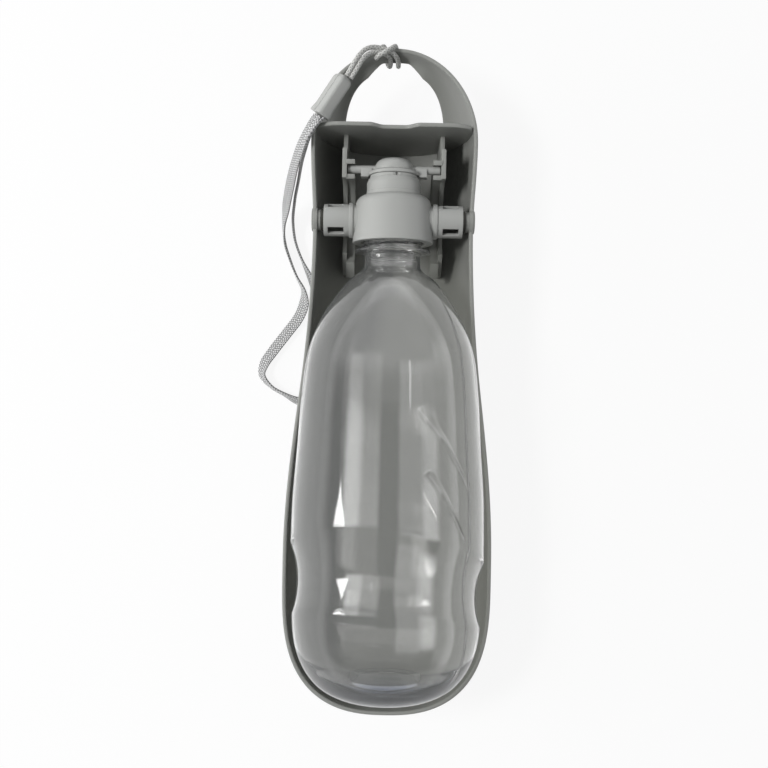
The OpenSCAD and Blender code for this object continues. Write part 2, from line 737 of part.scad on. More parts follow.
// The webbing has a fourth value: the roll of its width from level
webbing_route = [
    [-33.4, 44.2, 51, 45], [-35.6, 40.8, 50.8, 42], [-40.4, 33.4, 45.8, 42], [-44.2, 26, 36.6, 46],
    [-47.4, 18.4, 25.2, 54], [-50.2, 10.4, 13.6, 66], [-51.8, 3, 6, 80], [-51.2, -5, 3.6, 90],
    [-48.6, -12.6, 3.6, 90], [-45.2, -20.8, 3.6, 80], [-42.4, -28, 3.2, 50], [-43.6, -35.6, 2, 18],
    [-49.6, -44.2, 1, 0], [-56, -53, 1, 0], [-60.8, -61, 1.6, 16], [-61.4, -67.6, 3, 50],
    [-57.8, -73, 3.6, 75], [-51.4, -77.2, 3.6, 75], [-43.8, -80.4, 3, 50], [-36.2, -80.2, 1.8, 20],
    [-30.8, -75, 1, 0], [-28.4, -65, 1, 0], [-28.8, -54, 1, 0], [-31, -42.6, 1.2, -5],
    [-34.2, -32, 2, -25], [-38.2, -22.4, 3.2, -60], [-43, -12.6, 3.6, -85], [-46.4, -3.4, 3.8, -90],
    [-47.4, 5, 6, -88], [-46, 13.4, 14.6, -84], [-43.4, 21, 26, -82], [-41, 27.2, 37.2, -82],
    [-38.6, 31.6, 47.2, -84], [-36.6, 35, 51.4, -84],
    [-33.6, 39.8, 51.8, -78], [-31.4, 43, 51.2, -60]];

function unit(v) = v / norm(v);
function place(p) = [p.x, p.y, p.z];
function tangent(route, n) = unit(place(route[min(n + 1, len(route) - 1)]) - place(route[max(n - 1, 0)]));

// Sideways directions carried along a route without twist
function carried(route, n, side) =
    n == len(route) ? []
    : let (ahead = tangent(route, n), level = unit(side - (side * ahead) * ahead))
      concat([level], carried(route, n + 1, level));

// Sideways directions rolled from level by the fourth value of each point
function rolled(route) = [for (n = [0 : len(route) - 1])
    let (ahead = tangent(route, n), level = unit(cross([0, 0, 1], ahead)), up = cross(ahead, level))
    level * cos(route[n][3]) + up * sin(route[n][3])];

function tube_faces(rings, sides) = concat(
    [[for (s = [0 : sides - 1]) s]],
    [for (r = [0 : rings - 2]) for (s = [0 : sides - 1])
        each quad(r * sides + (s + 1) % sides, r * sides + s,
                  (r + 1) * sides + s, (r + 1) * sides + (s + 1) % sides)],
    [[for (s = [sides - 1 : -1 : 0]) (rings - 1) * sides + s]]);

module cord_tube(route, sideways, half_w, half_t) {
    sides = 8;
    translate([0, pivot_y, 0])
        polyhedron(
            points = [for (n = [0 : len(route) - 1]) for (s = [0 : sides - 1])
                let (a = 360 * (s + 0.5) / sides, up = cross(tangent(route, n), sideways[n]))
                place(route[n]) + sideways[n] * half_w * cos(a) + up * half_t * sin(a)],
            faces = tube_faces(len(route), sides),
            convexity = 8);
}

module strap_cord() {
    color(strap_grey) cord_tube(cord_route, carried(cord_route, 0, [1, 0, 0]), cord_d / 2, cord_d / 2);
}

module strap_webbing() {
    color(strap_grey) cord_tube(webbing_route, rolled(webbing_route), webbing_w / 2, webbing_t / 2);
}

// Connector: two half shells along the line from webbing to cord, lying on the left limb
connector_centre = [-27.2, 52.8, 51.2];
connector_turn = -33;
connector_pitch = 3;
connector_roll = 45;
connector_round = 1.4;

module connector_half(turned) {
    half_w = connector_w / 2;
    half_h = connector_h / 2;
    r = connector_round;
    translate(connector_centre + [0, pivot_y, 0])
        rotate([connector_pitch, 0, connector_turn])
            rotate([90, turned ? 180 - connector_roll : -connector_roll, 0])
                linear_extrude(height = connector_l, center = true)
                    polygon(concat(
                        [[run_gap / 2, -half_h], [run_gap / 2, half_h]],
                        [for (n = [6 : -1 : 0]) arc_points(half_w - r, half_h - r, r, 0, 90, 6)[n]],
                        [for (n = [6 : -1 : 0]) arc_points(half_w - r, r - half_h, r, 270, 360, 6)[n]]));
}

module connector_front() { color(strap_grey) connector_half(false); }
module connector_back() { color(strap_grey) connector_half(true); }

trough();
pivot_pin_left();
pivot_pin_right();
pivot_washer_left();
pivot_washer_right();
hub_sleeve_left();
hub_sleeve_right();
collar();
collar_gasket();
nozzle_ring();
valve_seat();
seat_o_ring();
plug_seal();
valve_cap();
bottle();
bottle_neck();
strap_cord();
connector_front();
connector_back();
strap_webbing();
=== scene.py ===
"""Folding travel water bottle for pets: the visible pieces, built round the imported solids.

Sizes in the classes are millimetres. X is the width, Y is measured from the pivot axis, Z from the table.
"""

import json
import logging
import math
from dataclasses import dataclass
from enum import Enum
from typing import Callable, Iterable, Sequence

import bmesh
import bpy
import numpy as np
from mathutils import Matrix, Vector

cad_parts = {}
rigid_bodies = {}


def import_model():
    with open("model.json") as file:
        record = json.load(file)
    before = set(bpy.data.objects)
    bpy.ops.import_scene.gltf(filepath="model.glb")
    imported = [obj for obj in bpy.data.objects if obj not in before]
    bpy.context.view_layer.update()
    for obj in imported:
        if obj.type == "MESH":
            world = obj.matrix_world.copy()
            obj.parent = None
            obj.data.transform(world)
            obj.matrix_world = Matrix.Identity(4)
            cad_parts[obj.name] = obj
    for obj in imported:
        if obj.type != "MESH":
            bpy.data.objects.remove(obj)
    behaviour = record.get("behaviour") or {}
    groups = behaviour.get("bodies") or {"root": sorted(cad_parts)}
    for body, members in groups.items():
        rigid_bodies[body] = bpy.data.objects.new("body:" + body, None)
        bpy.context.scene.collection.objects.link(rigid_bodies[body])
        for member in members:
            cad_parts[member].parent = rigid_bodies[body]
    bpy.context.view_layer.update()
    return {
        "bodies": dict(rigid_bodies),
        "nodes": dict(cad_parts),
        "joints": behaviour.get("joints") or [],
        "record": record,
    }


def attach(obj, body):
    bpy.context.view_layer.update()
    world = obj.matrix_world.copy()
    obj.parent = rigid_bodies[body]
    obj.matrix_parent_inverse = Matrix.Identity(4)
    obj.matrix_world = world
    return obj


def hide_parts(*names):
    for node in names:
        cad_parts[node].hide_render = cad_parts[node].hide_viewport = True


# A millimetre in metres, and where the pivot axis lies in the shared frame, in millimetres
MM = 0.001
PIVOT_Y = 69.95
PIVOT_Z = 45.0
# Corners flatter than this aren't rounded, and a rounding takes at most this share of each side
STRAIGHT = math.radians(176)
CORNER_SHARE = 0.47
WHITE = (1.0, 1.0, 1.0, 1.0)

Point = tuple[float, float, float]
Flat = tuple[float, float]
Corner = tuple[float, ...]
Ring = Callable[[float, float], Flat]
Colour = tuple[float, float, float, float]
Placing = Callable[[float, float, float], Point]
Object = bpy.types.Object
Material = bpy.types.Material
log = logging.getLogger("water_bottle")


# Curves and numbers


def mix(a: float, b: float, t: float) -> float:
    """Value at share t between a and b."""
    return a + (b - a) * t


def ease(t: float) -> float:
    """Smooth step from 0 to 1 that holds its ends."""
    return (1 - math.cos(math.pi * min(1.0, max(0.0, t)))) / 2


def signed_power(v: float, p: float) -> float:
    """Power of the size of v, with its sign."""
    return math.copysign(abs(v) ** p, v)


def smooth_line(points: Sequence[Sequence[float]], step: float) -> np.ndarray:
    """Runs a centripetal Catmull-Rom curve through points.

    Args:
        points: the points, of any number of values each, of which the first three or two are the place.
        step: distance between the new points.

    Returns:
        One row per new point, with as many values as the given points.
    """
    p = np.array(points, float)
    p = np.vstack([2 * p[0] - p[1], p, 2 * p[-1] - p[-2]])
    place = p[:, : min(3, p.shape[1])]
    rows = []
    for n in range(1, len(p) - 2):
        gaps = [max(1e-6, float(np.linalg.norm(place[n + k] - place[n + k - 1]))) ** 0.5 for k in (0, 1, 2)]
        t = np.concatenate([[0.0], np.cumsum(gaps)])
        count = max(1, round(gaps[1] ** 2 / step))
        for s in np.linspace(t[1], t[2], count, endpoint=False):
            a = [p[n + k - 1] * (t[k + 1] - s) / gaps[k] + p[n + k] * (s - t[k]) / gaps[k] for k in (0, 1, 2)]
            b = [a[k] * (t[k + 2] - s) / (t[k + 2] - t[k]) + a[k + 1] * (s - t[k]) / (t[k + 2] - t[k]) for k in (0, 1)]
            rows.append(b[0] * (t[2] - s) / gaps[1] + b[1] * (s - t[1]) / gaps[1])
    rows.append(p[-2])
    return np.array(rows)


def headings(line: np.ndarray) -> np.ndarray:
    """Directions of length 1 along a line, one for each of its points."""
    ahead = np.gradient(line, axis=0)
    return ahead / np.linalg.norm(ahead, axis=1)[:, None]


def rounded(outline: Sequence[Sequence[float]], steps: int = 4) -> list[Flat]:
    """Rounds the corners of a closed outline.

    Args:
        outline: corners as (x, y) or (x, y, radius).
        steps: faces round each corner.

    Returns:
        The outline with its rounded corners as short steps.
    """
    made: list[Flat] = []
    count = len(outline)
    for n, corner in enumerate(outline):
        here = Vector(corner[:2])
        radius = corner[2] if len(corner) > 2 else 0.0
        back = Vector(outline[n - 1][:2]) - here
        ahead = Vector(outline[(n + 1) % count][:2]) - here
        angle = back.angle(ahead, math.pi) if back.length and ahead.length else math.pi
        if radius <= 0 or angle > STRAIGHT:
            made.append((here.x, here.y))
            continue
        reach = min(radius / math.tan(angle / 2), CORNER_SHARE * back.length, CORNER_SHARE * ahead.length)
        first, last = here + back.normalized() * reach, here + ahead.normalized() * reach
        for s in range(steps + 1):
            t = s / steps
            p = first * (1 - t) ** 2 + here * (2 * t * (1 - t)) + last * t**2
            made.append((p.x, p.y))
    return made


# Meshes


def linked(name: str, data: bpy.types.ID) -> Object:
    """Puts a new object in the scene.

    Args:
        name: name of the object.
        data: its mesh, lamp or camera data.

    Returns:
        The new object.
    """
    made = bpy.data.objects.new(name, data)
    bpy.context.scene.collection.objects.link(made)
    return made


def discard(piece: Object) -> None:
    """Removes an object and its mesh.

    Args:
        piece: the object that is no longer needed.
    """
    mesh = piece.data
    bpy.data.objects.remove(piece)
    bpy.data.meshes.remove(mesh)


def new_piece(name: str, points: Iterable[Sequence[float]], faces: Sequence[Sequence[int]]) -> Object:
    """Makes an object from points and faces.

    Args:
        name: name of the object.
        points: places in millimetres, across, along from the pivot axis and up from the table.
        faces: numbers of the points of each face.

    Returns:
        The new object, at the origin.
    """
    mesh = bpy.data.meshes.new(name)
    mesh.from_pydata([(x * MM, (y + PIVOT_Y) * MM, z * MM) for x, y, z in points], [], [list(f) for f in faces])
    return linked(name, mesh)


def finish_mesh(piece: Object, weld: float = 0.002, crease: float = 38.0, turn_out: bool = True) -> Object:
    """Merges doubles, points the faces outwards and shades smooth up to an angle.

    Args:
        piece: the object to finish.
        weld: points closer than this are merged, in millimetres.
        crease: edges sharper than this angle stay sharp, in degrees.
        turn_out: whether the faces are turned outwards.

    Returns:
        The same object.
    """
    shape = bmesh.new()
    shape.from_mesh(piece.data)
    bmesh.ops.remove_doubles(shape, verts=shape.verts, dist=weld * MM)
    bmesh.ops.dissolve_degenerate(shape, edges=shape.edges, dist=weld * MM * 0.5)
    if turn_out:
        bmesh.ops.recalc_face_normals(shape, faces=shape.faces)
    shape.to_mesh(piece.data)
    shape.free()
    piece.data.polygons.foreach_set("use_smooth", [True] * len(piece.data.polygons))
    piece.data.set_sharp_from_angle(angle=math.radians(crease))
    piece.data.update()
    return piece


def applied(piece: Object) -> Object:
    """Turns a piece with its modifiers into a plain mesh.

    Args:
        piece: the object.

    Returns:
        The same object, without modifiers.
    """
    bpy.context.view_layer.update()
    graph = bpy.context.evaluated_depsgraph_get()
    made = bpy.data.meshes.new_from_object(piece.evaluated_get(graph), preserve_all_data_layers=True, depsgraph=graph)
    piece.modifiers.clear()
    old, piece.data = piece.data, made
    bpy.data.meshes.remove(old)
    made.name = piece.name
    return piece


def bevelled(piece: Object, width: float, segments: int = 3, angle: float = 35.0) -> Object:
    """Rounds the sharp edges of a piece.

    Args:
        piece: the object, with merged points.
        width: width of the rounding in millimetres.
        segments: faces across it.
        angle: edges sharper than this are rounded, in degrees.

    Returns:
        The same object, as a plain mesh.
    """
    edge = piece.modifiers.new("edge", "BEVEL")
    edge.width, edge.segments = width * MM, segments
    edge.limit_method, edge.angle_limit = "ANGLE", math.radians(angle)
    edge.use_clamp_overlap = True
    return finish_mesh(applied(piece), weld=0.0005, crease=30.0, turn_out=False)


def joined(name: str, parts: Sequence[Object]) -> Object:
    """Joins parts into one object under a new name.

    Args:
        name: name of the new object.
        parts: the objects that are joined, which are removed.

    Returns:
        The new object.
    """
    shape = bmesh.new()
    for part in parts:
        shape.from_mesh(part.data)
    mesh = bpy.data.meshes.new(name)
    shape.to_mesh(mesh)
    shape.free()
    for part in parts:
        discard(part)
    return finish_mesh(linked(name, mesh), weld=0.0002, turn_out=False)


def grid_faces(rows: int, cols: int, wrap_rows: bool = False, wrap_cols: bool = False) -> list[tuple[int, ...]]:
    """Faces of a grid of points that is numbered row by row.

    Args:
        rows: number of rows.
        cols: number of points in each row.
        wrap_rows: whether the last row joins the first.
        wrap_cols: whether each row is a ring.

    Returns:
        The points of each face.
    """
    return [
        (r * cols + c, r * cols + (c + 1) % cols, (r + 1) % rows * cols + (c + 1) % cols, (r + 1) % rows * cols + c)
        for r in range(rows if wrap_rows else rows - 1)
        for c in range(cols if wrap_cols else cols - 1)
    ]


class Side(Enum):
    """Side of the object, with its sign across."""

    LEFT = -1.0
    RIGHT = 1.0

    @property
    def label(self) -> str:
        """Word for the side in the name of a piece."""
        return self.name.lower()


class Axis(Enum):
    """Line that a turned piece is round."""

    BOTTLE = "bottle"
    PIVOT = "pivot"


def turned_point(axis: Axis, radius: float, along: float, angle: float) -> Point:
    """Point at a radius and angle about an axis through the pivot.

    Args:
        axis: the line it is turned about.
        radius: distance from that line.
        along: distance along it from the pivot.
        angle: angle about it in radians.

    Returns:
        The point in millimetres.
    """
    if axis is Axis.BOTTLE:
        return radius * math.cos(angle), along, PIVOT_Z + radius * math.sin(angle)
    return along, radius * math.cos(angle), PIVOT_Z + radius * math.sin(angle)


def lathe(name: str, outline: Sequence[Sequence[float]], axis: Axis, around: int = 128) -> Object:
    """Turns a closed outline about an axis.

    Args:
        name: name of the new object.
        outline: corners as (radius, along) or (radius, along, rounding).
        axis: the line it is turned about.
        around: faces round the axis.

    Returns:
        The turned object.
    """
    ring = rounded(outline)
    points = [
        turned_point(axis, max(r, 0.0), along, math.tau * a / around) for a in range(around) for r, along in ring
    ]
    return finish_mesh(new_piece(name, points, grid_faces(around, len(ring), True, True)))


def slab(name: str, outline: Sequence[Flat], low: float, high: float, place: Placing) -> Object:
    """Solid between two copies of a flat outline.

    Args:
        name: name of the new object.
        outline: corners of the outline.
        low: depth of its first face.
        high: depth of its second face.
        place: turns (a, b, depth) into a point.

    Returns:
        The solid.
    """
    count = len(outline)
    points = [place(a, b, d) for d in (low, high) for a, b in outline]
    faces: list[Sequence[int]] = [list(range(count)), list(range(2 * count - 1, count - 1, -1))]
    faces += [(n, (n + 1) % count, count + (n + 1) % count, count + n) for n in range(count)]
    return finish_mesh(new_piece(name, points, faces))


# Materials


def linear(code: str) -> Colour:
    """Linear colour of a hex code."""
    parts = [int(code[n : n + 2], 16) / 255 for n in (1, 3, 5)]
    return (*[c / 12.92 if c <= 0.04045 else ((c + 0.055) / 1.055) ** 2.4 for c in parts], 1.0)


def scaled(colour: Colour, k: float) -> Colour:
    """Colour made lighter or darker by a factor."""
    return (*[min(1.0, c * k) for c in colour[:3]], 1.0)


class Wire:
    """One value in a node tree, on which arithmetic adds Math nodes."""

    def __init__(self, bench: "Bench", socket: bpy.types.NodeSocket) -> None:
        """Keeps the bench and the socket."""
        self.bench, self.socket = bench, socket

    def maths(self, operation: str, *values: "Wire | float") -> "Wire":
        """Result of one Math node."""
        return self.bench.add("ShaderNodeMath", {"operation": operation}, dict(enumerate(values)))

    def __add__(self, other: "Wire | float") -> "Wire":
        """Sum."""
        return self.maths("ADD", self, other)

    def __radd__(self, other: float) -> "Wire":
        """Sum."""
        return self.maths("ADD", other, self)

    def __sub__(self, other: "Wire | float") -> "Wire":
        """Difference."""
        return self.maths("SUBTRACT", self, other)

    def __rsub__(self, other: float) -> "Wire":
        """Difference."""
        return self.maths("SUBTRACT", other, self)

    def __mul__(self, other: "Wire | float") -> "Wire":
        """Product."""
        return self.maths("MULTIPLY", self, other)

    def __rmul__(self, other: float) -> "Wire":
        """Product."""
        return self.maths("MULTIPLY", other, self)

    def __truediv__(self, other: "Wire | float") -> "Wire":
        """Quotient."""
        return self.maths("DIVIDE", self, other)

    def __rtruediv__(self, other: float) -> "Wire":
        """Quotient."""
        return self.maths("DIVIDE", other, self)

    def sine(self) -> "Wire":
        """Sine."""
        return self.maths("SINE", self)

    def ramp(self, low: float, high: float) -> "Wire":
        """Smooth share from 0 at low to 1 at high."""
        values = {0: self, 1: low, 2: high, 3: 0.0, 4: 1.0}
        return self.bench.add("ShaderNodeMapRange", {"interpolation_type": "SMOOTHSTEP"}, values)

    def size(self) -> "Wire":
        """Value without its sign."""
        return self.maths("ABSOLUTE", self)

    def most(self, other: "Wire | float") -> "Wire":
        """The larger of two values."""
        return self.maths("MAXIMUM", self, other)


class Bench:
    """A new material, or the world, and the nodes that are put in it."""

    def __init__(self, name: str, world: bpy.types.World | None = None) -> None:
        """Makes the material with only its output, or clears the world.

        Args:
            name: name of a new material.
            world: the world, where that is dressed instead.
        """
        self.material = world or bpy.data.materials.new(name)
        self.material.use_nodes = True
        self.tree = self.material.node_tree
        self.tree.nodes.clear()
        self.output = self.tree.nodes.new("ShaderNodeOutputWorld" if world else "ShaderNodeOutputMaterial")

    def add(self, kind: str, settings: dict | None = None, values: dict | None = None, out: int | str = 0) -> Wire:
        """Adds one node.

        Args:
            kind: type of the node.
            settings: its own settings, which are set first.
            values: values or wires by socket name or number.
            out: name or number of the output that is returned.

        Returns:
            The chosen output.
        """
        node = self.tree.nodes.new(kind)
        for name, setting in (settings or {}).items():
            setattr(node, name, setting)
        for key, value in (values or {}).items():
            if isinstance(value, Wire):
                self.tree.links.new(value.socket, node.inputs[key])
            else:
                node.inputs[key].default_value = value
        return Wire(self, node.outputs[out])

    def place(self) -> Wire:
        """Place on the object, in metres."""
        return self.add("ShaderNodeTexCoord", out="Object")

    def parts(self, vector: Wire) -> tuple[Wire, Wire, Wire]:
        """The three values of a vector."""
        node = self.add("ShaderNodeSeparateXYZ", values={0: vector}).socket.node
        return tuple(Wire(self, value) for value in node.outputs)

    def drawn_out(self, place: Wire, share: float) -> Wire:
        """Place for a pattern that is drawn out along the object."""
        return self.add("ShaderNodeMapping", values={"Vector": place, "Scale": (1.0, share, 1.0)})

    def noise(self, size: float, detail: float = 3.0, at: Wire | None = None, rough: float = 0.5) -> Wire:
        """Noise from 0 to 1 with features of about size millimetres."""
        values = {"Vector": at or self.place(), "Scale": 1 / (size * MM), "Detail": detail, "Roughness": rough}
        return self.add("ShaderNodeTexNoise", values=values)

    def blend(self, share: Wire | float, a: Sequence[float] | Wire, b: Sequence[float] | Wire) -> Wire:
        """Colour between a and b."""
        return self.add("ShaderNodeMix", {"data_type": "RGBA"}, {0: share, 6: a, 7: b}, out=2)

    def bump(self, height: Wire, depth: float, strength: float = 1.0, over: Wire | None = None) -> Wire:
        """Normal from a height.

        Args:
            height: height from 0 to 1.
            depth: its whole range in millimetres.
            strength: share of it that shows.
            over: a normal that it is added to.

        Returns:
            The normal.
        """
        values = {"Height": height, "Distance": depth * MM, "Strength": strength}
        if over is not None:
            values["Normal"] = over
        return self.add("ShaderNodeBump", values=values)

    def ray(self, *kinds: str) -> Wire:
        """Tells the kinds of ray apart, such as Camera or Glossy.

        Args:
            kinds: names of the kinds.

        Returns:
            1 for such a ray, else 0.
        """
        shares = [self.add("ShaderNodeLightPath", out=f"Is {kind} Ray") for kind in kinds]
        found = shares[0]
        for share in shares[1:]:
            found = found.most(share)
        return found

    def mixed(self, share: Wire, a: Wire, b: Wire) -> Wire:
        """Shader between a and b."""
        return self.add("ShaderNodeMixShader", values={0: share, 1: a, 2: b})

    def surface(self, shader: Wire) -> Material:
        """Joins a shader to the output."""
        self.tree.links.new(shader.socket, self.output.inputs["Surface"])
        return self.material

    def principled(self, values: dict) -> Material:
        """Material of one Principled shader with these values."""
        return self.surface(self.add("ShaderNodeBsdfPrincipled", values=values))


@dataclass(frozen=True)
class MouldedPlastic:
    """Opaque moulded plastic with a fine grain, broad patches and faint scuffs, whose sizes are millimetres.

    Patch gloss and scuff gloss are how much the roughness changes with each.
    """

    name: str
    tint: str
    roughness: float = 0.45
    grain: float = 0.28
    grain_depth: float = 0.012
    mottle: float = 0.05
    patch: float = 14.0
    scuff: float = 10 / 9
    scuff_share: float = 0.18
    scuff_rough: float = 0.62
    patch_gloss: float = 0.12
    scuff_gloss: float = 0.10
    index: float = 1.49

    def material(self) -> Material:
        """Builds the material.

        Returns:
            The material.
        """
        bench = Bench(self.name)
        colour = linear(self.tint)
        place = bench.place()
        broad = bench.noise(self.patch, 4.0, place)
        fine = bench.noise(self.grain, 2.0, place)
        scuff = bench.noise(self.scuff, 4.0, bench.drawn_out(place, self.scuff_share), self.scuff_rough)
        tone = bench.blend(broad * 0.7 + fine * 0.3, scaled(colour, 1 - self.mottle), scaled(colour, 1 + self.mottle))
        values = {
            "Base Color": tone,
            "Roughness": self.roughness + (broad - 0.5) * self.patch_gloss + (scuff - 0.5) * self.scuff_gloss,
            "Normal": bench.bump(fine * 0.75 + scuff * 0.25, self.grain_depth),
            "IOR": self.index,
        }
        return bench.principled(values)


@dataclass(frozen=True)
class Sweep:
    """One thin moulded line on the bottle, from its deep end to its fine end, in millimetres."""

    start: Flat
    end: Flat
    bow: float
    width: float
    fine_width: float = 0.25

    def height(self, x: Wire, y: Wire) -> Wire:
        """Draws the line.

        Args:
            x: place across, in millimetres.
            y: place along.

        Returns:
            Depth of the line from 0 to 1.
        """
        (x0, y0), (x1, y1) = self.start, self.end
        length = math.hypot(x1 - x0, y1 - y0)
        ux, uy = (x1 - x0) / length, (y1 - y0) / length
        s = ((x - x0) * ux + (y - y0) * uy) / length
        side = (y - y0) * ux - (x - x0) * uy - s * (1 - s) * 4 * self.bow
        wide = (1 - s).most(0.05) * self.width + self.fine_width
        inside = s.ramp(-0.04, 0.03) * (1 - s.ramp(0.8, 1.0))
        return (1 - side.size() / wide).most(0.0) * inside


@dataclass(frozen=True)
class ClearPlastic:
    """Clear blown bottle plastic, through which lamps shine.

    Places and sizes are millimetres from the pivot axis, and a pair of them is where a mark fades in or out. The base
    has painted shade, a dark blue tint for the dark bands that its thick glass shows, drawn only on the side that is up
    when the bottle is folded. The seam lies at an angle in degrees.
    """

    name: str
    tint: str
    # Dark blue of the painted shade on the thick base
    base_tint: str = "#666e80"
    index: float = 1.5
    gloss: Flat = (0.015, 0.02)
    haze: float = 0.035
    film: Colour = (0.9, 0.92, 0.93, 1.0)
    ripple: float = 11.0
    ripple_share: float = 0.25
    ripple_depth: float = 0.16
    fine: float = 1.6
    line_depth: float = 0.45
    line_up: Flat = (5.0, 10.0)
    seam_turn: float = 53.5
    seam_sharpness: float = 110.0
    seam_depth: float = 0.55
    seam_end: Flat = (-39.95, -33.95)
    base_end: Flat = (-200.0, -191.0)
    base_up: Flat = (-5.0, 20.0)
    sweeps: tuple[Sweep, ...] = (
        Sweep((12.2, -81.4), (34, -117), 2.2, 1.9),
        Sweep((15.9, -106.5), (32, -137), 1.6, 1.7),
    )

    def material(self) -> Material:
        """Builds the material.

        Returns:
            The material.
        """
        bench = Bench(self.name)
        place = bench.place()
        x, y, z = bench.parts(place)
        ripple = bench.noise(self.ripple, 1.5, bench.drawn_out(place, self.ripple_share))
        fine = bench.noise(self.fine, 2.0, place)
        across, along = x * (1 / MM), y * (1 / MM) - PIVOT_Y
        lines = self.sweeps[0].height(across, along)
        for sweep in self.sweeps[1:]:
            lines = lines + sweep.height(across, along)
        lines = lines * z.ramp(*[(PIVOT_Z + up) * MM for up in self.line_up])
        turn = across.maths("ARCTAN2", across, z * (1 / MM) - PIVOT_Z)
        seam = (1 - (turn - math.radians(self.seam_turn)).size() * self.seam_sharpness).most(0.0)
        seam = seam * (1 - y.ramp(*[(PIVOT_Y + end) * MM for end in self.seam_end]))
        lines = lines.most(seam * self.seam_depth)
        flow = bench.bump(ripple, self.ripple_depth, 0.5)
        # Painted shade: the base turns dark blue on its upper side, for the dark bands that its thick glass shows
        upper = z.ramp(*[(PIVOT_Z + up) * MM for up in self.base_up])
        unshaded = y.ramp(*[(PIVOT_Y + end) * MM for end in self.base_end]).most(1 - upper)
        values = {
            "Base Color": bench.blend(unshaded, linear(self.base_tint), linear(self.tint)),
            "Roughness": self.gloss[0] + fine * self.gloss[1],
            "Normal": bench.bump(1 - lines, self.line_depth, 1.0, flow),
            "IOR": self.index,
            "Transmission Weight": 1.0,
        }
        glass = bench.add("ShaderNodeBsdfPrincipled", values=values)
        film = bench.add("ShaderNodeBsdfDiffuse", values={"Color": self.film})
        dull = bench.mixed(self.haze * 0.7 + fine * (self.haze * 0.6), glass, film)
        open_way = bench.add("ShaderNodeBsdfTransparent", values={"Color": linear(self.tint)})
        return bench.surface(bench.mixed(bench.ray("Shadow", "Diffuse"), dull, open_way))


@dataclass(frozen=True)
class SoftRubber:
    """Dark soft rubber of seals and washers, whose grain goes between two shades and adds to the roughness."""

    name: str
    tint: str
    grain: float = 0.4
    grain_depth: float = 0.015
    shades: Flat = (0.8, 1.25)
    roughness: Flat = (0.52, 0.2)

    def material(self) -> Material:
        """Builds the material.

        Returns:
            The material.
        """
        bench = Bench(self.name)
        colour = linear(self.tint)
        grain = bench.noise(self.grain, 3.0)
        values = {
            "Base Color": bench.blend(grain, *[scaled(colour, shade) for shade in self.shades]),
            "Roughness": self.roughness[0] + grain * self.roughness[1],
            "Normal": bench.bump(grain, self.grain_depth),
        }
        return bench.principled(values)


class Weave(Enum):
    """How a band of yarn is made up."""

    BRAIDED = "strands that cross round a cord"
    RIBBED = "lengthwise ribs with picks across"


@dataclass(frozen=True)
class Yarn:
    """Heather yarn on a piece's own map, whose U runs in millimetres along it and V once round it.

    Count is the strands or ribs round the piece, pitch how they run along it, gaps how much painted shade darkens the
    gaps between them, and edge how full the section's corners are.
    """

    name: str
    light: str
    dark: str
    weave: Weave
    count: float
    pitch: float
    twist: float
    gaps: float
    edge: float = 0.55
    rib_relief: float = 0.6
    pick_relief: float = 0.8
    lean: float = 9.0
    fleck: float = 0.9
    fuzz: float = 0.16
    fibre_depth: float = 0.05
    roughness: Flat = (0.78, 0.15)
    sheen: Flat = (0.25, 0.5)

    def raised(self, along: Wire, turn: Wire) -> Wire:
        """How far the weave stands up.

        Args:
            along: distance along the piece in millimetres.
            turn: angle round it in radians.

        Returns:
            Height from 0 in the gaps to 1.
        """
        if self.weave is Weave.BRAIDED:
            first = (turn * self.count + along * self.pitch).sine()
            return first.most((turn * self.count - along * self.pitch).sine()) * 0.5 + 0.5
        across = turn.maths("COSINE", turn).size()
        rib = across.maths("POWER", across, self.edge) * (self.count / 2)
        crown = rib.maths("COSINE", rib * math.tau) * 0.5 + 0.5
        step = rib.maths("MODULO", rib.maths("ROUND", rib), 2.0) * 0.5
        pick = ((along / self.pitch + step) * math.tau).sine() * 0.5 + 0.5
        ribs = crown.ramp(0.0, 0.65) * self.rib_relief + (1 - self.rib_relief)
        return ribs * (pick.ramp(0.05, 0.7) * self.pick_relief + (1 - self.pick_relief))

    def material(self) -> Material:
        """Builds the material.

        Returns:
            The material.
        """
        bench = Bench(self.name)
        at = bench.add("ShaderNodeUVMap", {"uv_map": "weave"})
        along, across, _ = bench.parts(at)
        fibre = ((along * self.twist + across * self.lean) * math.tau).sine() * 0.5 + 0.5
        fleck = bench.noise(self.fleck, 3.0)
        fuzz = bench.noise(self.fuzz, 2.0)
        high = self.raised(along, across * math.tau)
        # Painted shade: the weave's height darkens the gaps between ribs and strands, over the yarn's own flecked tone
        share = (fibre * 0.2 + fleck * 0.4 + 0.5) * (high * self.gaps + (1.0 - self.gaps))
        tone = bench.blend(share, linear(self.dark), linear(self.light))
        values = {
            "Base Color": tone,
            "Roughness": self.roughness[0] + fuzz * self.roughness[1],
            "Normal": bench.bump(fibre * 0.5 + fuzz * 0.5, self.fibre_depth),
            "Sheen Weight": self.sheen[0],
            "Sheen Roughness": self.sheen[1],
        }
        return bench.principled(values)


@dataclass(frozen=True)
class Finishes:
    """The finishes of this object."""

    trough: MouldedPlastic = MouldedPlastic("trough_plastic", "#90918d", 0.42)
    fitting: MouldedPlastic = MouldedPlastic("fitting_plastic", "#a7a8a5", 0.40, 0.22, 0.008, 0.03)
    connector: MouldedPlastic = MouldedPlastic("connector_plastic", "#b3b4b1", 0.38, 0.2, 0.008, 0.03)
    seal: SoftRubber = SoftRubber("seal_rubber", "#34342f")
    clear: ClearPlastic = ClearPlastic("clear_plastic", "#f3f3f2")
    # The last number of each yarn is how much painted shade darkens the gaps of its weave
    yarn: Yarn = Yarn("heather_yarn", "#ffffff", "#161615", Weave.RIBBED, 7, 1.3, 26.0, 0.95)
    cord_yarn: Yarn = Yarn("cord_yarn", "#ebebe7", "#4a4a48", Weave.BRAIDED, 4, 3.4, 30.0, 0.65)


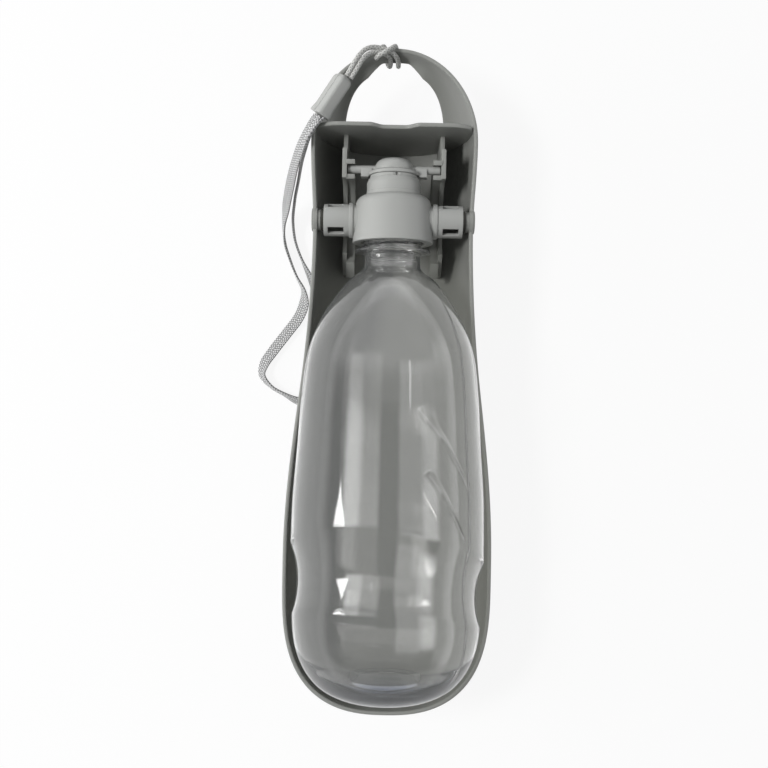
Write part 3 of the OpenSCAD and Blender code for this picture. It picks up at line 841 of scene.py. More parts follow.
def dress(piece: Object, material: Material, body: str, slot: str, *nodes: str) -> Object:
    """Gives a piece its material and its place in the object.

    Args:
        piece: the finished piece.
        material: its material.
        body: the body that it moves with.
        slot: the record's slot that its finish comes from; not used.
        nodes: the solids that it stands for.

    Returns:
        The same piece.
    """
    piece.data.materials.clear()
    piece.data.materials.append(material)
    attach(piece, body)
    if nodes:
        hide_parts(*nodes)
    log.info("%s: %d faces on %s", piece.name, len(piece.data.polygons), body)
    return piece


def repeated(name: str, seats: Object, shape: Object, material: Material, **sizes: float) -> Object:
    """Sets a shape on every point of a mesh, with a tree of Geometry Nodes.

    Args:
        name: name of the new object.
        seats: mesh whose points have the attributes along and out, which turn the shape.
        shape: the shape that is repeated, about its own origin.
        material: material of the result.
        sizes: length, width and height of each copy.

    Returns:
        A plain mesh with a copy of the shape on each point.
    """
    tree = bpy.data.node_groups.new(name, "GeometryNodeTree")
    face = tree.interface
    face.new_socket("Seats", in_out="INPUT", socket_type="NodeSocketGeometry")
    for size in ("Length", "Width", "Height"):
        face.new_socket(size, in_out="INPUT", socket_type="NodeSocketFloat")
    face.new_socket("Copies", in_out="OUTPUT", socket_type="NodeSocketGeometry")

    def node(kind: str, settings: dict | None = None, **links: bpy.types.NodeSocket) -> bpy.types.Node:
        """Adds a node with its settings, and joins its sockets by name.

        Args:
            kind: type of the node.
            settings: its own settings.
            links: what each of its sockets is joined to.

        Returns:
            The new node.
        """
        made = tree.nodes.new(kind)
        for key, setting in (settings or {}).items():
            setattr(made, key, setting)
        for key, socket in links.items():
            tree.links.new(socket, made.inputs[key.replace("_", " ")])
        return made

    def named(attribute: str) -> bpy.types.NodeSocket:
        """Reads a vector attribute of the seats.

        Args:
            attribute: name of the attribute.

        Returns:
            The attribute's value.
        """
        made = node("GeometryNodeInputNamedAttribute", {"data_type": "FLOAT_VECTOR"})
        made.inputs["Name"].default_value = attribute
        return made.outputs[0]

    given = node("NodeGroupInput")
    scale = node("ShaderNodeCombineXYZ", X=given.outputs["Length"], Y=given.outputs["Width"], Z=given.outputs["Height"])
    turn = node(
        "FunctionNodeAxesToRotation",
        {"primary_axis": "Z", "secondary_axis": "X"},
        Primary_Axis=named("out"),
        Secondary_Axis=named("along"),
    )
    source = node("GeometryNodeObjectInfo")
    source.inputs["Object"].default_value = shape
    spread = node(
        "GeometryNodeInstanceOnPoints",
        Points=given.outputs["Seats"],
        Instance=source.outputs["Geometry"],
        Rotation=turn.outputs["Rotation"],
        Scale=scale.outputs[0],
    )
    real = node("GeometryNodeRealizeInstances", Geometry=spread.outputs["Instances"])
    paint = node("GeometryNodeSetMaterial", Geometry=real.outputs["Geometry"])
    paint.inputs["Material"].default_value = material
    last = node("NodeGroupOutput")
    tree.links.new(paint.outputs["Geometry"], last.inputs["Copies"])
    spreader = seats.modifiers.new(name, "NODES")
    spreader.node_group = tree
    for item in face.items_tree:
        if item.in_out == "INPUT" and item.name.lower() in sizes:
            spreader[item.identifier] = float(sizes[item.name.lower()])
    applied(seats)
    seats.name = seats.data.name = name
    discard(shape)
    bpy.data.node_groups.remove(tree)
    return seats


def seats_at(name: str, places: Sequence[Point], along: Sequence[Point], out: Sequence[Point]) -> Object:
    """Makes points with the attributes that turn what is set on them.

    Args:
        name: name of the new object.
        places: the points in millimetres.
        along: direction of each copy's length.
        out: direction of each copy's height.

    Returns:
        A mesh of points.
    """
    seats = new_piece(name, places, [])
    for key, rows in (("along", along), ("out", out)):
        values = seats.data.attributes.new(key, "FLOAT_VECTOR", "POINT")
        values.data.foreach_set("vector", np.array(rows, np.float32).ravel())
    return seats


# The trough


@dataclass
class Trough:
    """The long moulded trough with its hand loop, end wall, guide tracks and lugs.

    Places along are measured from the pivot axis, heights from the table. A power is that of a rounded outline, and
    a slope is the length over which a step in an edge runs out.
    """

    # Outline and section
    handle_reach: float = 77.4
    toe_reach: float = 218.1
    rim_height: float = 39.0
    ear_height: float = 48.0
    tip_height: float = 40.0
    wall: float = 1.8
    belly_half: float = 46.3
    waist_half: float = 34.8
    shoulder_half: float = 36.3
    belly_start: float = 150.0
    toe_start: float = 157.4
    toe_centre: float = -170.0
    toe_power: Flat = (2.5, 3.0)
    rim_rise: Flat = (-75.0, -14.0)
    waist_y: float = -5.0
    shoulder_y: float = 34.0
    section_power: float = 2.3
    flat_sink: float = 0.6
    # Wall between the bowl and the hand loop, with a wave in its top
    end_wall_foot: float = 38.2
    end_wall_lean: float = 1.5
    end_wall_height: float = 53.0
    end_wall_inset: float = 2.03
    end_wall_shoulder: float = 10.2
    end_wall_drop: float = 2.5
    wave_depth: float = 4.0
    wave_half: float = 11.0
    wave_slope: float = 6.5
    wave_points: int = 81
    foot_points: int = 41
    foot_angle: float = 4.0
    # Hand opening, with the notch that the cord is hitched round
    opening_start: float = 41.0
    opening_half: float = 23.5
    opening_length: float = 28.5
    opening_power: float = 2.6
    notch_depth: float = 4.0
    notch_half: float = 12.4
    notch_slope: float = 6.4
    loop_depth: float = 11.0
    # Rows and columns of the shell, and its rounded lip
    grip_cols: int = 14
    floor_cols: int = 28
    body_rows: int = 84
    toe_rows: int = 56
    loop_rows: int = 84
    rim_steps: int = 6
    lip: float = 0.9
    lip_power: float = 0.7
    # Lugs round the pivot pins
    pin_hole_r: float = 3.02
    lug_r: float = 5.4
    lug_step_r: float = 4.5
    lug_out: float = 0.15
    lug_in: float = 1.55
    lug_sink: float = 0.05
    finish: MouldedPlastic = Finishes.trough

    def half_width(self, y: float) -> float:
        """Gives the outline's half width.

        Args:
            y: place along.

        Returns:
            Half the width there.
        """
        if y < -self.belly_start:
            return self.belly_half
        if y < self.waist_y:
            share = ease((y + self.belly_start) / (self.waist_y + self.belly_start))
            return mix(self.belly_half, self.waist_half, share)
        if y < self.shoulder_y:
            share = ease((y - self.waist_y) / (self.shoulder_y - self.waist_y))
            return mix(self.waist_half, self.shoulder_half, share)
        reach = (y - self.shoulder_y) / (self.handle_reach - self.shoulder_y)
        return self.shoulder_half * math.sqrt(max(0.0, 1 - reach**2))

    def rim_z(self, y: float) -> float:
        """Height of the rim at a place along."""
        low, high = self.rim_rise
        return mix(self.rim_height, self.ear_height, ease((y - low) / (high - low)))

    @property
    def cols(self) -> int:
        """Columns of the section from rim to rim."""
        return 2 * self.grip_cols + self.floor_cols

    def column_angle(self, v: int) -> float:
        """Places a column so that one lies on each side of the hand opening.

        Args:
            v: number of the column.

        Returns:
            Its angle in the section, in radians from the right rim.
        """
        share = self.opening_half / (self.half_width(self.opening_start) - self.wall)
        edge = math.acos(share ** (self.section_power / 2))
        if v <= self.grip_cols:
            return edge * v / self.grip_cols
        if v <= self.grip_cols + self.floor_cols:
            return mix(edge, math.pi - edge, (v - self.grip_cols) / self.floor_cols)
        return math.pi - edge * (self.cols - v) / self.grip_cols

    def across(self, v: int) -> float:
        """Share of the half width at a column."""
        return signed_power(math.cos(self.column_angle(v)), 2 / self.section_power)

    def drop(self, v: int) -> float:
        """Share of the depth at a column."""
        return max(0.0, math.sin(self.column_angle(v))) ** (2 / self.section_power)

    def section_z(self, rim: float, v: int, skin: int) -> float:
        """Height of a column, cut flat where the trough rests, with room for the rounded lip.

        Args:
            rim: height of the rim.
            v: number of the column.
            skin: 0 for the outside, 1 for the inside.

        Returns:
            Height of the column.
        """
        inset = skin * self.wall
        z = max(inset, rim - (rim + self.flat_sink - inset) * self.drop(v))
        return min(z, rim - self.lip)

    def body_point(self, i: int, v: int, skin: int) -> Point:
        """Point on the trough's body.

        Args:
            i: number of the row.
            v: number of the column.
            skin: 0 for the outside, 1 for the inside.

        Returns:
            The point.
        """
        y = mix(self.toe_centre, self.opening_start, i / self.body_rows)
        half = self.half_width(y) - skin * self.wall
        if y < -self.toe_start:
            reach = self.toe_reach - skin * self.wall - self.toe_start
            wide, long = self.toe_power
            half = (self.belly_half - skin * self.wall) * (1 - ((-self.toe_start - y) / reach) ** long) ** (1 / wide)
        return half * self.across(v), y, self.section_z(self.rim_z(y), v, skin)

    def toe_point(self, j: int, v: int, skin: int) -> Point:
        """Point on the rounded toe.

        Args:
            j: number of the row, from right to left round the toe.
            v: number of the column.
            skin: 0 for the outside, 1 for the inside.

        Returns:
            The point.
        """
        reach = self.toe_reach - skin * self.wall - self.toe_start
        wide, long = self.toe_power
        start = math.asin(((-self.toe_start - self.toe_centre) / reach) ** (long / 2))
        angle = mix(start, math.pi - start, j / self.toe_rows)
        x = signed_power(math.cos(angle), 2 / wide) * (self.belly_half - skin * self.wall)
        y = -self.toe_start - reach * math.sin(angle) ** (2 / long)
        share = self.across(v)
        return x * share, mix(self.toe_centre, y, share), self.section_z(self.rim_height, v, skin)

    def loop_point(self, k: int, v: int, skin: int) -> Point:
        """Point on the hand loop.

        Args:
            k: number of the row, from right to left round the loop.
            v: number of the column, from the outline in to the opening.
            skin: 0 for the outside, 1 for the inside.

        Returns:
            The point.
        """
        inset = skin * self.wall
        reach = self.handle_reach - self.shoulder_y - inset
        start = math.asin((self.opening_start - self.shoulder_y) / reach)
        angle = mix(start, math.pi - start, k / self.loop_rows)
        outer = ((self.shoulder_half - inset) * math.cos(angle), self.shoulder_y + reach * math.sin(angle))
        turn = math.pi * k / self.loop_rows
        half = self.half_width(self.opening_start)
        grow = 1.0 if skin == 1 else half / (half - self.wall)
        x = self.opening_half * signed_power(math.cos(turn), 2 / self.opening_power)
        notch = self.notch_depth * min(1.0, max(0.0, (self.notch_half - abs(x)) / self.notch_slope))
        tip = math.sin(turn)
        y = self.opening_start + self.opening_length * grow * max(0.0, tip) ** (2 / self.opening_power) + notch
        rim = mix(self.ear_height, self.tip_height, tip)
        depth = mix(self.ear_height + self.flat_sink - inset, self.loop_depth - inset, tip)
        share = (1 - self.across(v)) / (1 - self.across(self.grip_cols))
        z = min(rim - depth * self.drop(v), rim - self.lip)
        return mix(outer[0], x * grow, share), mix(outer[1], y, share), z

    def shell(self) -> Object:
        """Both skins of the trough, with a rounded lip all round the rim and the hand opening.

        Returns:
            The shell in one piece.
        """
        points: list[Point] = []
        faces: list[tuple[int, ...]] = []

        def patch(grid: list[list[Point]]) -> None:
            """Adds a grid of points.

            Args:
                grid: rows of points.
            """
            base, cols = len(points), len(grid[0])
            points.extend(p for row in grid for p in row)
            faces.extend(tuple(base + n for n in f) for f in grid_faces(len(grid), cols))

        def lip(edges: list[tuple[Point, Point]], outward: Callable[[int], Vector]) -> None:
            """Rounds over from the outer to the inner skin along an edge.

            Args:
                edges: pairs of points on the outer and the inner skin.
                outward: direction out of the edge at a pair's number.
            """
            grid = []
            for n, (outer, inner) in enumerate(edges):
                a, b = Vector(outer), Vector(inner)
                middle, arm, up = (a + b) / 2, (a - b) / 2, outward(n)
                row = []
                for s in range(self.rim_steps + 1):
                    t = math.pi * s / self.rim_steps
                    c, h = signed_power(math.cos(t), self.lip_power), math.sin(t) ** self.lip_power
                    row.append(tuple(middle + arm * c + up * (h * self.lip)))
                grid.append(row)
            patch(grid)

        def upward(n: int) -> Vector:
            """Direction out of the rim."""
            return Vector((0, 0, 1))

        def into_opening(k: int) -> Vector:
            """Direction out of the loop into the hand opening."""
            return (Vector(self.loop_point(k, grip, 0)) - Vector(self.loop_point(k, grip - 1, 0))).normalized()

        def across_opening(n: int) -> Vector:
            """Direction out of the end wall into the hand opening, which turns at its two ends."""
            return Vector((0, 1, 0)) if 0 < n < cols - 2 * grip else into_opening(0 if n == 0 else self.loop_rows)

        cols, grip, rows = self.cols, self.grip_cols, self.body_rows
        for skin in (0, 1):
            patch([[self.body_point(i, v, skin) for v in range(cols + 1)] for i in range(rows + 1)])
            patch([[self.toe_point(j, v, skin) for v in range(cols // 2 + 1)] for j in range(self.toe_rows + 1)])
            patch([[self.loop_point(k, v, skin) for v in range(grip + 1)] for k in range(self.loop_rows + 1)])
        for point, count, v, outward in (
            (self.body_point, rows, 0, upward),
            (self.body_point, rows, cols, upward),
            (self.toe_point, self.toe_rows, 0, upward),
            (self.loop_point, self.loop_rows, 0, upward),
            (self.loop_point, self.loop_rows, grip, into_opening),
        ):
            lip([(point(n, v, 0), point(n, v, 1)) for n in range(count + 1)], outward)
        opening = range(grip, cols - grip + 1)
        lip([(self.body_point(rows, v, 0), self.body_point(rows, v, 1)) for v in opening], across_opening)
        return finish_mesh(new_piece("trough_shell", points, faces), weld=0.01, crease=50.0)

    def wall_top(self, x: float) -> float:
        """Gives the top of the end wall, with its wave in the middle and its round shoulders.

        Args:
            x: place across.

        Returns:
            Height of the top there.
        """
        edge = self.half_width(self.end_wall_foot) - self.wall / 2 - self.end_wall_inset
        flat = edge - self.end_wall_shoulder
        if abs(x) > flat:
            share = 1 - math.sqrt(max(0.0, 1 - ((abs(x) - flat) / (edge + 1 - flat)) ** 2))
            return mix(self.end_wall_height, self.ear_height - self.end_wall_drop, share)
        return self.end_wall_height - self.wave_depth * ease((self.wave_half - abs(x)) / self.wave_slope)

    def end_wall(self) -> Object:
        """Wall across the trough, whose foot and sides run into the shell.

        Returns:
            The wall.
        """
        half = self.half_width(self.end_wall_foot) - self.wall / 2
        edge = half - self.end_wall_inset
        top = [(x, self.wall_top(x)) for x in np.linspace(-edge, edge, self.wave_points)]
        deep = self.ear_height + self.flat_sink - self.wall / 2
        foot = []
        for angle in np.radians(np.linspace(self.foot_angle, 180 - self.foot_angle, self.foot_points)):
            z = max(self.wall / 2, self.ear_height - deep * math.sin(angle) ** (2 / self.section_power))
            foot.append((half * signed_power(math.cos(angle), 2 / self.section_power), z))
        lean = math.tan(math.radians(self.end_wall_lean))

        def place(a: float, b: float, depth: float) -> Point:
            """Leans the wall's outline back as it rises."""
            return a, self.end_wall_foot + depth + b * lean, b

        return bevelled(slab("end_wall", top + foot, 0.0, self.wall, place), 0.55, 4, 40.0)

    def lugs(self) -> list[Object]:
        """Bosses in the side walls through which the pins go.

        Returns:
            The left and the right boss.
        """
        made = []
        for side in Side:
            outer = (self.half_width(0) + self.lug_out) * side.value
            inner = (self.half_width(0) - self.wall - self.lug_in) * side.value
            face = (self.half_width(0) - self.wall - self.lug_sink) * side.value
            outline = [
                (self.pin_hole_r, inner), (self.lug_step_r, inner, 0.2), (self.lug_step_r, face),
                (self.lug_r, face), (self.lug_r, outer, 0.6), (self.pin_hole_r, outer),
            ]
            made.append(lathe(f"lug_{side.label}", outline, Axis.PIVOT, 72))
        return made

    def build(self) -> list[Object]:
        """Builds the trough's pieces and puts them on their body.

        Returns:
            The pieces.
        """
        grey = self.finish.material()
        made = [dress(self.shell(), grey, "base", "trough", "trough")]
        for piece in (self.end_wall(), *GuideTracks(self).build(), *self.lugs()):
            made.append(dress(piece, grey, "base", "trough"))
        return made


@dataclass
class GuideTracks:
    """The two upright plates whose spiral ribs lead the cap's arms.

    Start and end are angles about the pivot in degrees, and the lift rate is the spiral's growth per degree.
    """

    trough: Trough
    plate_in: float = 20.5
    plate_t: float = 2.0
    rib_reach: float = 17.0
    track_r: float = 22.4
    channel_half: float = 2.1
    rib_t: float = 2.1
    start: float = -10.0
    end: float = 134.0
    lift_rate: float = 0.028
    stop_turn: float = 5.0
    dip_y: float = 31.0
    dip_z: float = -7.5
    top: float = 4.0
    bite: float = 0.5
    steps: int = 48

    def polar(self, radius: float, angle: float) -> Flat:
        """Place along and up from the pivot, at an angle in degrees that grows downwards."""
        return radius * math.cos(math.radians(angle)), -radius * math.sin(math.radians(angle))

    def spiral(self, offset: float, angle: float) -> Flat:
        """Point on the spiral, beside its middle by an offset."""
        return self.polar(self.track_r + offset + self.lift_rate * angle, angle)

    def rib(self, near: float, far: float) -> list[Flat]:
        """Outline of a rib between two offsets from the spiral's middle."""
        angles = np.linspace(self.start, self.end, self.steps + 1)
        return [self.spiral(near, a) for a in angles] + [self.spiral(far, a) for a in angles[::-1]]

    def floor_z(self, x: float, y: float) -> float:
        """Height of the middle of the trough's wall.

        Args:
            x: place across.
            y: place along.

        Returns:
            The height.
        """
        t = self.trough
        half = t.half_width(y) - t.wall / 2
        deep = t.rim_z(y) + t.flat_sink - t.wall / 2
        return t.rim_z(y) - deep * (1 - (x / half) ** t.section_power) ** (1 / t.section_power)

    def plate(self) -> list[Flat]:
        """Outline of the plate down to the trough's floor and back to the end wall.

        Returns:
            The outline, along and up from the pivot.
        """
        inner = self.track_r - self.channel_half - self.rib_t
        angles = np.linspace(self.start, self.end, self.steps + 1)
        tail = self.spiral(self.channel_half + self.rib_t, self.end)
        middle = self.plate_in + self.plate_t / 2
        wall_y = self.trough.end_wall_foot + self.trough.wall / 2
        line = [self.polar(inner, a) for a in angles]
        line += [tail, (tail[0], self.floor_z(middle, tail[0]) - PIVOT_Z)]
        for y in np.linspace(tail[0] + 4, wall_y, 9):
            line.append((float(y), self.floor_z(middle, float(y)) - PIVOT_Z))
        return line + [
            (wall_y + 1, self.dip_z), (self.dip_y + 0.8, self.dip_z), (self.dip_y, self.top), (inner, self.top),
        ]

    def build(self) -> list[Object]:
        """Builds both tracks.

        Returns:
            The left and the right track.
        """
        near, far = self.channel_half, self.channel_half + self.rib_t
        shut = self.end + self.stop_turn
        stop = [self.spiral(*corner) for corner in ((-far, self.end), (far, self.end), (far, shut), (-far, shut))]
        ribs = {"near": self.rib(-far, -near), "far": self.rib(near, far), "stop": stop}
        made = []
        for side in Side:

            def place(a: float, b: float, depth: float, sign: float = side.value) -> Point:
                """Sets an outline of places along and up at a depth across."""
                return depth * sign, a, PIVOT_Z + b

            name = f"track_{side.label}"
            plate = slab(f"{name}_plate", self.plate(), self.plate_in, self.plate_in + self.plate_t, place)
            parts = [bevelled(plate, 0.2, 2)]
            for key, outline in ribs.items():
                rib = slab(f"{name}_{key}", outline, self.rib_reach, self.plate_in + self.bite, place)
                parts.append(bevelled(rib, 0.25, 2))
            made.append(joined(name, parts))
        return made


# Pieces that keep the solid's shape, with softened edges


@dataclass(frozen=True)
class Softened:
    """A solid's own shape with merged points and rounded edges."""

    node: str
    name: str
    body: str
    slot: str
    edge: float

    def build(self, frame: dict, material: Material) -> Object:
        """Builds the piece and lets it stand for its solid.

        Args:
            frame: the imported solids.
            material: material of the piece.

        Returns:
            The piece.
        """
        piece = linked(self.name, frame["nodes"][self.node].data.copy())
        shape = bmesh.new()
        shape.from_mesh(piece.data)
        bmesh.ops.remove_doubles(shape, verts=shape.verts, dist=0.002 * MM)
        bmesh.ops.dissolve_limit(shape, angle_limit=math.radians(0.6), verts=shape.verts, edges=shape.edges)
        shape.to_mesh(piece.data)
        shape.free()
        bevelled(piece, self.edge, 3, 32.0)
        return dress(piece, material, self.body, self.slot, self.node)


# Collar and spout


@dataclass
class Collar:
    """The screw collar with its shoulder, flanges and stubs, which start inside its wall at the stub's root."""

    rim_r: float = 17.6
    top_r: float = 16.5
    top: float = 10.75
    rim: float = -9.9
    bore_r: float = 14.0
    ceiling: float = 8.2
    hole_r: float = 9.6
    shoulder: float = 4.6
    flange_r: float = 7.6
    flange_reach: float = 19.2
    spigot_r: float = 5.33
    spigot_end: float = 21.4
    stub_root: float = 14.4
    pin_foot: float = 17.2
    pin_r: float = 3.05
    finish: MouldedPlastic = Finishes.fitting

    def build(self) -> list[Object]:
        """Builds the collar in one piece.

        Returns:
            The collar.
        """
        grey = self.finish.material()
        section: list[Corner] = [
            (self.hole_r, self.top, 0.3),
            (self.hole_r, self.ceiling, 0.2),
            (self.bore_r, self.ceiling, 0.4),
            (self.bore_r, self.rim, 0.45),
            (self.rim_r, self.rim, 0.5),
            (self.rim_r - 0.15, self.rim + 2.2, 0.4),
            (self.top_r + 0.2, self.top - self.shoulder - 3.0, 3.0),
        ]
        for turn in range(0, 91, 6):
            fall = self.shoulder * (1 - math.cos(math.radians(turn)))
            section.append((self.top_r - fall, self.top - self.shoulder * (1 - math.sin(math.radians(turn)))))
        body = lathe("collar_body", section, Axis.BOTTLE, 160)
        stubs = []
        for sign in (side.value for side in Side):
            outline = [
                (self.pin_r, self.pin_foot * sign),
                (self.pin_r, self.spigot_end * sign, 0.2),
                (self.spigot_r, self.spigot_end * sign, 0.2),
                (self.spigot_r, self.flange_reach * sign, 0.1),
                (self.flange_r, self.flange_reach * sign, 0.45),
                (self.flange_r, (self.flange_reach - 1.7) * sign, 0.5),
                (self.flange_r - 0.9, (self.flange_reach - 2.3) * sign, 0.5),
                (self.flange_r - 0.5, self.stub_root * sign),
                (self.pin_r, self.stub_root * sign),
            ]
            stubs.append(lathe("stub", outline, Axis.PIVOT, 96))
        return [dress(joined("collar_shell", [body, *stubs]), grey, "spout", "fitting", "collar")]


@dataclass
class Spout:
    """Nozzle ring, valve seat with its slotted bezel, seals and the push-pull cap.

    Heights are places along the bottle's axis from the pivot, and a reach is a place across.
    """

    # Nozzle ring
    root: float = 8.8
    nozzle_r: float = 11.85
    nozzle_top: float = 18.05
    nozzle_tail_r: float = 9.58
    nozzle_bore_r: float = 8.02
    foot: float = 10.77
    # Bezel and the ribs beside its slots
    bezel_r: float = 10.5
    bezel_top: float = 19.55
    bezel_slots: int = 4
    slot_turn: float = 84.0
    slot_half: float = 0.4
    bezel_lift: float = 0.02
    bezel_steps: int = 28
    rib_turn: float = 9.0
    rib_sink: float = 0.28
    rib_size: Flat = (0.9, 0.6)
    # Valve seat and its plug
    tube_r: float = 8.0
    tube_bore_r: float = 6.4
    throat: Flat = (16.45, 18.05)
    spout_r: float = 6.2
    spout_bore_r: float = 4.6
    spout_top: float = 23.75
    groove_r: float = 5.4
    groove: Flat = (21.35, 22.95)
    plug_r: float = 1.8
    plug_top: float = 26.75
    # Push-pull cap
    disc_low: float = 19.65
    disc_t: float = 2.3
    disc_r: float = 11.0
    ledge_r: Point = (9.9, 9.1, 8.62)
    skirt_r: float = 7.05
    skirt_top: float = 24.5
    dome_r: float = 8.5
    dome_hole_r: float = 2.6
    dome_top: float = 27.05
    dome_power: float = 0.8
    block_low: float = 18.9
    block_t: float = 3.8
    block_half: float = 2.6
    block_in: float = 9.5
    block_out: float = 14.4
    arm_r: float = 1.75
    arm_in: float = 7.6
    arm_out: float = 20.2
    arm_y: float = 22.4
    # Seals
    seat_ring: tuple[Corner, ...] = ((5.42, 21.4, 0.3), (6.95, 21.4, 0.7), (6.95, 22.9, 0.7), (5.42, 22.9, 0.3))
    plug_ring: tuple[Corner, ...] = ((1.82, 25.15), (2.55, 25.15, 0.2), (2.55, 26.35, 0.2), (1.82, 26.35))
    gasket: tuple[Corner, ...] = ((10.2, 6.6, 0.2), (13.9, 6.6, 0.2), (13.9, 8.1, 0.2), (10.2, 8.1, 0.2))
    finish: MouldedPlastic = Finishes.fitting

    def nozzle(self) -> Object:
        """Ring on the collar's top, with a bead at its foot and a chamfer at its top.

        Returns:
            The ring.
        """
        outline = [
            (self.nozzle_bore_r, self.root),
            (self.nozzle_tail_r, self.root, 0.2),
            (self.nozzle_tail_r, self.foot),
            (self.nozzle_r, self.foot, 0.2),
            (self.nozzle_r, self.foot + 1.5, 0.2),
            (self.nozzle_r - 0.16, self.foot + 1.65, 0.15),
            (self.nozzle_r - 0.16, self.nozzle_top - 1.9, 0.8),
            (self.nozzle_r - 0.9, self.nozzle_top, 0.35),
            (self.nozzle_bore_r, self.nozzle_top, 0.1),
        ]
        return lathe("nozzle_shell", outline, Axis.BOTTLE, 144)

    def bezel_ribs(self, material: Material) -> Object:
        """Raised ribs beside the bezel's slots, set round it by Geometry Nodes.

        Args:
            material: material of the ribs.

        Returns:
            The ribs in one piece.
        """
        square = [(-0.5, -0.5), (0.5, -0.5), (0.5, 0.5), (-0.5, 0.5)]
        block = bevelled(slab("rib", square, -0.5, 0.5, lambda a, b, d: (a, b, d)), 0.16, 2)
        block.data.transform(Matrix.Translation((0, -PIVOT_Y * MM, 0)))
        block.data.transform(Matrix.Scale(1 / MM, 4))
        places, along, out = [], [], []
        for n in range(self.bezel_slots):
            for side in (-self.rib_turn, self.rib_turn):
                angle = math.radians(360 * n / self.bezel_slots + self.slot_turn + side)
                middle = (self.nozzle_top + self.bezel_top) / 2
                places.append(turned_point(Axis.BOTTLE, self.bezel_r - self.rib_sink, middle, angle))
                along.append((0.0, 1.0, 0.0))
                out.append((math.cos(angle), 0.0, math.sin(angle)))
        seats = seats_at("bezel_seats", places, along, out)
        length, (width, height) = self.bezel_top - self.nozzle_top - 0.1, self.rib_size
        sizes = {"length": length * MM, "width": width * MM, "height": height * MM}
        return repeated("bezel_ribs", seats, block, material, **sizes)

    def bezel(self) -> Object:
        """Ring round the seat, cut by narrow slots.

        Returns:
            The ring in one piece.
        """
        parts = []
        step = 360 / self.bezel_slots
        half = math.degrees(self.slot_half / self.bezel_r)
        for n in range(self.bezel_slots):
            first = math.radians(self.slot_turn + n * step + half)
            last = math.radians(self.slot_turn + (n + 1) * step - half)
            turns = [mix(first, last, k / self.bezel_steps) for k in range(self.bezel_steps + 1)]
            ring = [(self.bezel_r - 0.15, t) for t in turns] + [(self.bezel_r - 1.3, t) for t in turns[::-1]]
            outline = [(r * math.cos(t), r * math.sin(t)) for r, t in ring]
            low = self.nozzle_top + self.bezel_lift
            piece = slab("bezel", outline, low, self.bezel_top, lambda a, b, d: (a, d, PIVOT_Z + b))
            parts.append(bevelled(piece, 0.18, 2, 40.0))
        return joined("bezel_ring", parts)

    def seat(self) -> Object:
        """Seat tube with its flange, the spout with the ring's groove, and the centre plug.

        Returns:
            The seat in one piece.
        """
        outline = [
            (self.tube_bore_r, self.root),
            (self.tube_r, self.root),
            (self.tube_r, self.nozzle_top + self.bezel_lift),
            (self.bezel_r - 1.2, self.nozzle_top + self.bezel_lift, 0.1),
            (self.bezel_r - 1.2, self.bezel_top - 0.05, 0.1),
            (self.spout_r, self.bezel_top, 0.1),
            (self.spout_r, self.groove[0]),
            (self.groove_r, self.groove[0]),
            (self.groove_r, self.groove[1]),
            (self.spout_r, self.groove[1]),
            (self.spout_r, self.spout_top, 0.2),
            (self.spout_bore_r, self.spout_top, 0.2),
            (self.spout_bore_r, self.throat[1]),
            (self.tube_bore_r, self.throat[0]),
        ]
        pin = [(0.0, self.root), (self.plug_r, self.root), (self.plug_r, self.plug_top, 0.4), (0.0, self.plug_top)]
        tube = lathe("seat_tube", outline, Axis.BOTTLE, 128)
        return joined("seat_shell", [tube, lathe("plug", pin, Axis.BOTTLE, 48)])

    def cap(self) -> Object:
        """Dome on a disc, with a block and an arm on each side.

        Returns:
            The cap in one piece.
        """
        low, step = self.disc_low, self.disc_low + self.disc_t
        outline: list[Corner] = [
            (self.dome_hole_r, self.skirt_top),
            (self.skirt_r, self.skirt_top),
            (self.skirt_r, low, 0.2),
            (self.disc_r, low, 0.3),
            (self.disc_r, low + 1.3, 0.5),
            (self.ledge_r[0], low + 1.95, 0.8),
            (self.ledge_r[1], step - 0.1, 0.3),
            (self.ledge_r[2], step, 0.1),
        ]
        for turn in range(0, 91, 5):
            angle = math.radians(turn)
            share = math.cos(angle) ** self.dome_power if turn < 90 else 0.0
            height = mix(step, self.dome_top, math.sin(angle) ** self.dome_power)
            outline.append((mix(self.dome_hole_r, self.dome_r, share), height))
        parts = [lathe("cap_body", outline, Axis.BOTTLE, 144)]
        foot, top = self.block_low, self.block_low + self.block_t
        block = [
            (self.block_in, low), (self.disc_r, low), (self.disc_r, foot),
            (self.block_out, foot), (self.block_out, top), (self.block_in, top),
        ]
        rod = [(0.0, self.arm_in), (self.arm_r, self.arm_in), (self.arm_r, self.arm_out, 0.35), (0.0, self.arm_out)]
        for side in Side:

            def place(a: float, b: float, depth: float, sign: float = side.value) -> Point:
                """Sets an outline across and along at a depth up."""
                return a * sign, b, PIVOT_Z + depth

            parts.append(bevelled(slab("block", block, -self.block_half, self.block_half, place), 0.3, 3))
            arm = lathe("arm", rod, Axis.BOTTLE, 48)
            arm.data.transform(Matrix.Translation((0, -PIVOT_Y * MM, -PIVOT_Z * MM)))
            arm.data.transform(Matrix.Rotation(-math.pi / 2 * side.value, 4, "Z"))
            arm.data.transform(Matrix.Translation((0, (PIVOT_Y + self.arm_y) * MM, PIVOT_Z * MM)))
            parts.append(finish_mesh(arm))
        return joined("cap_shell", parts)

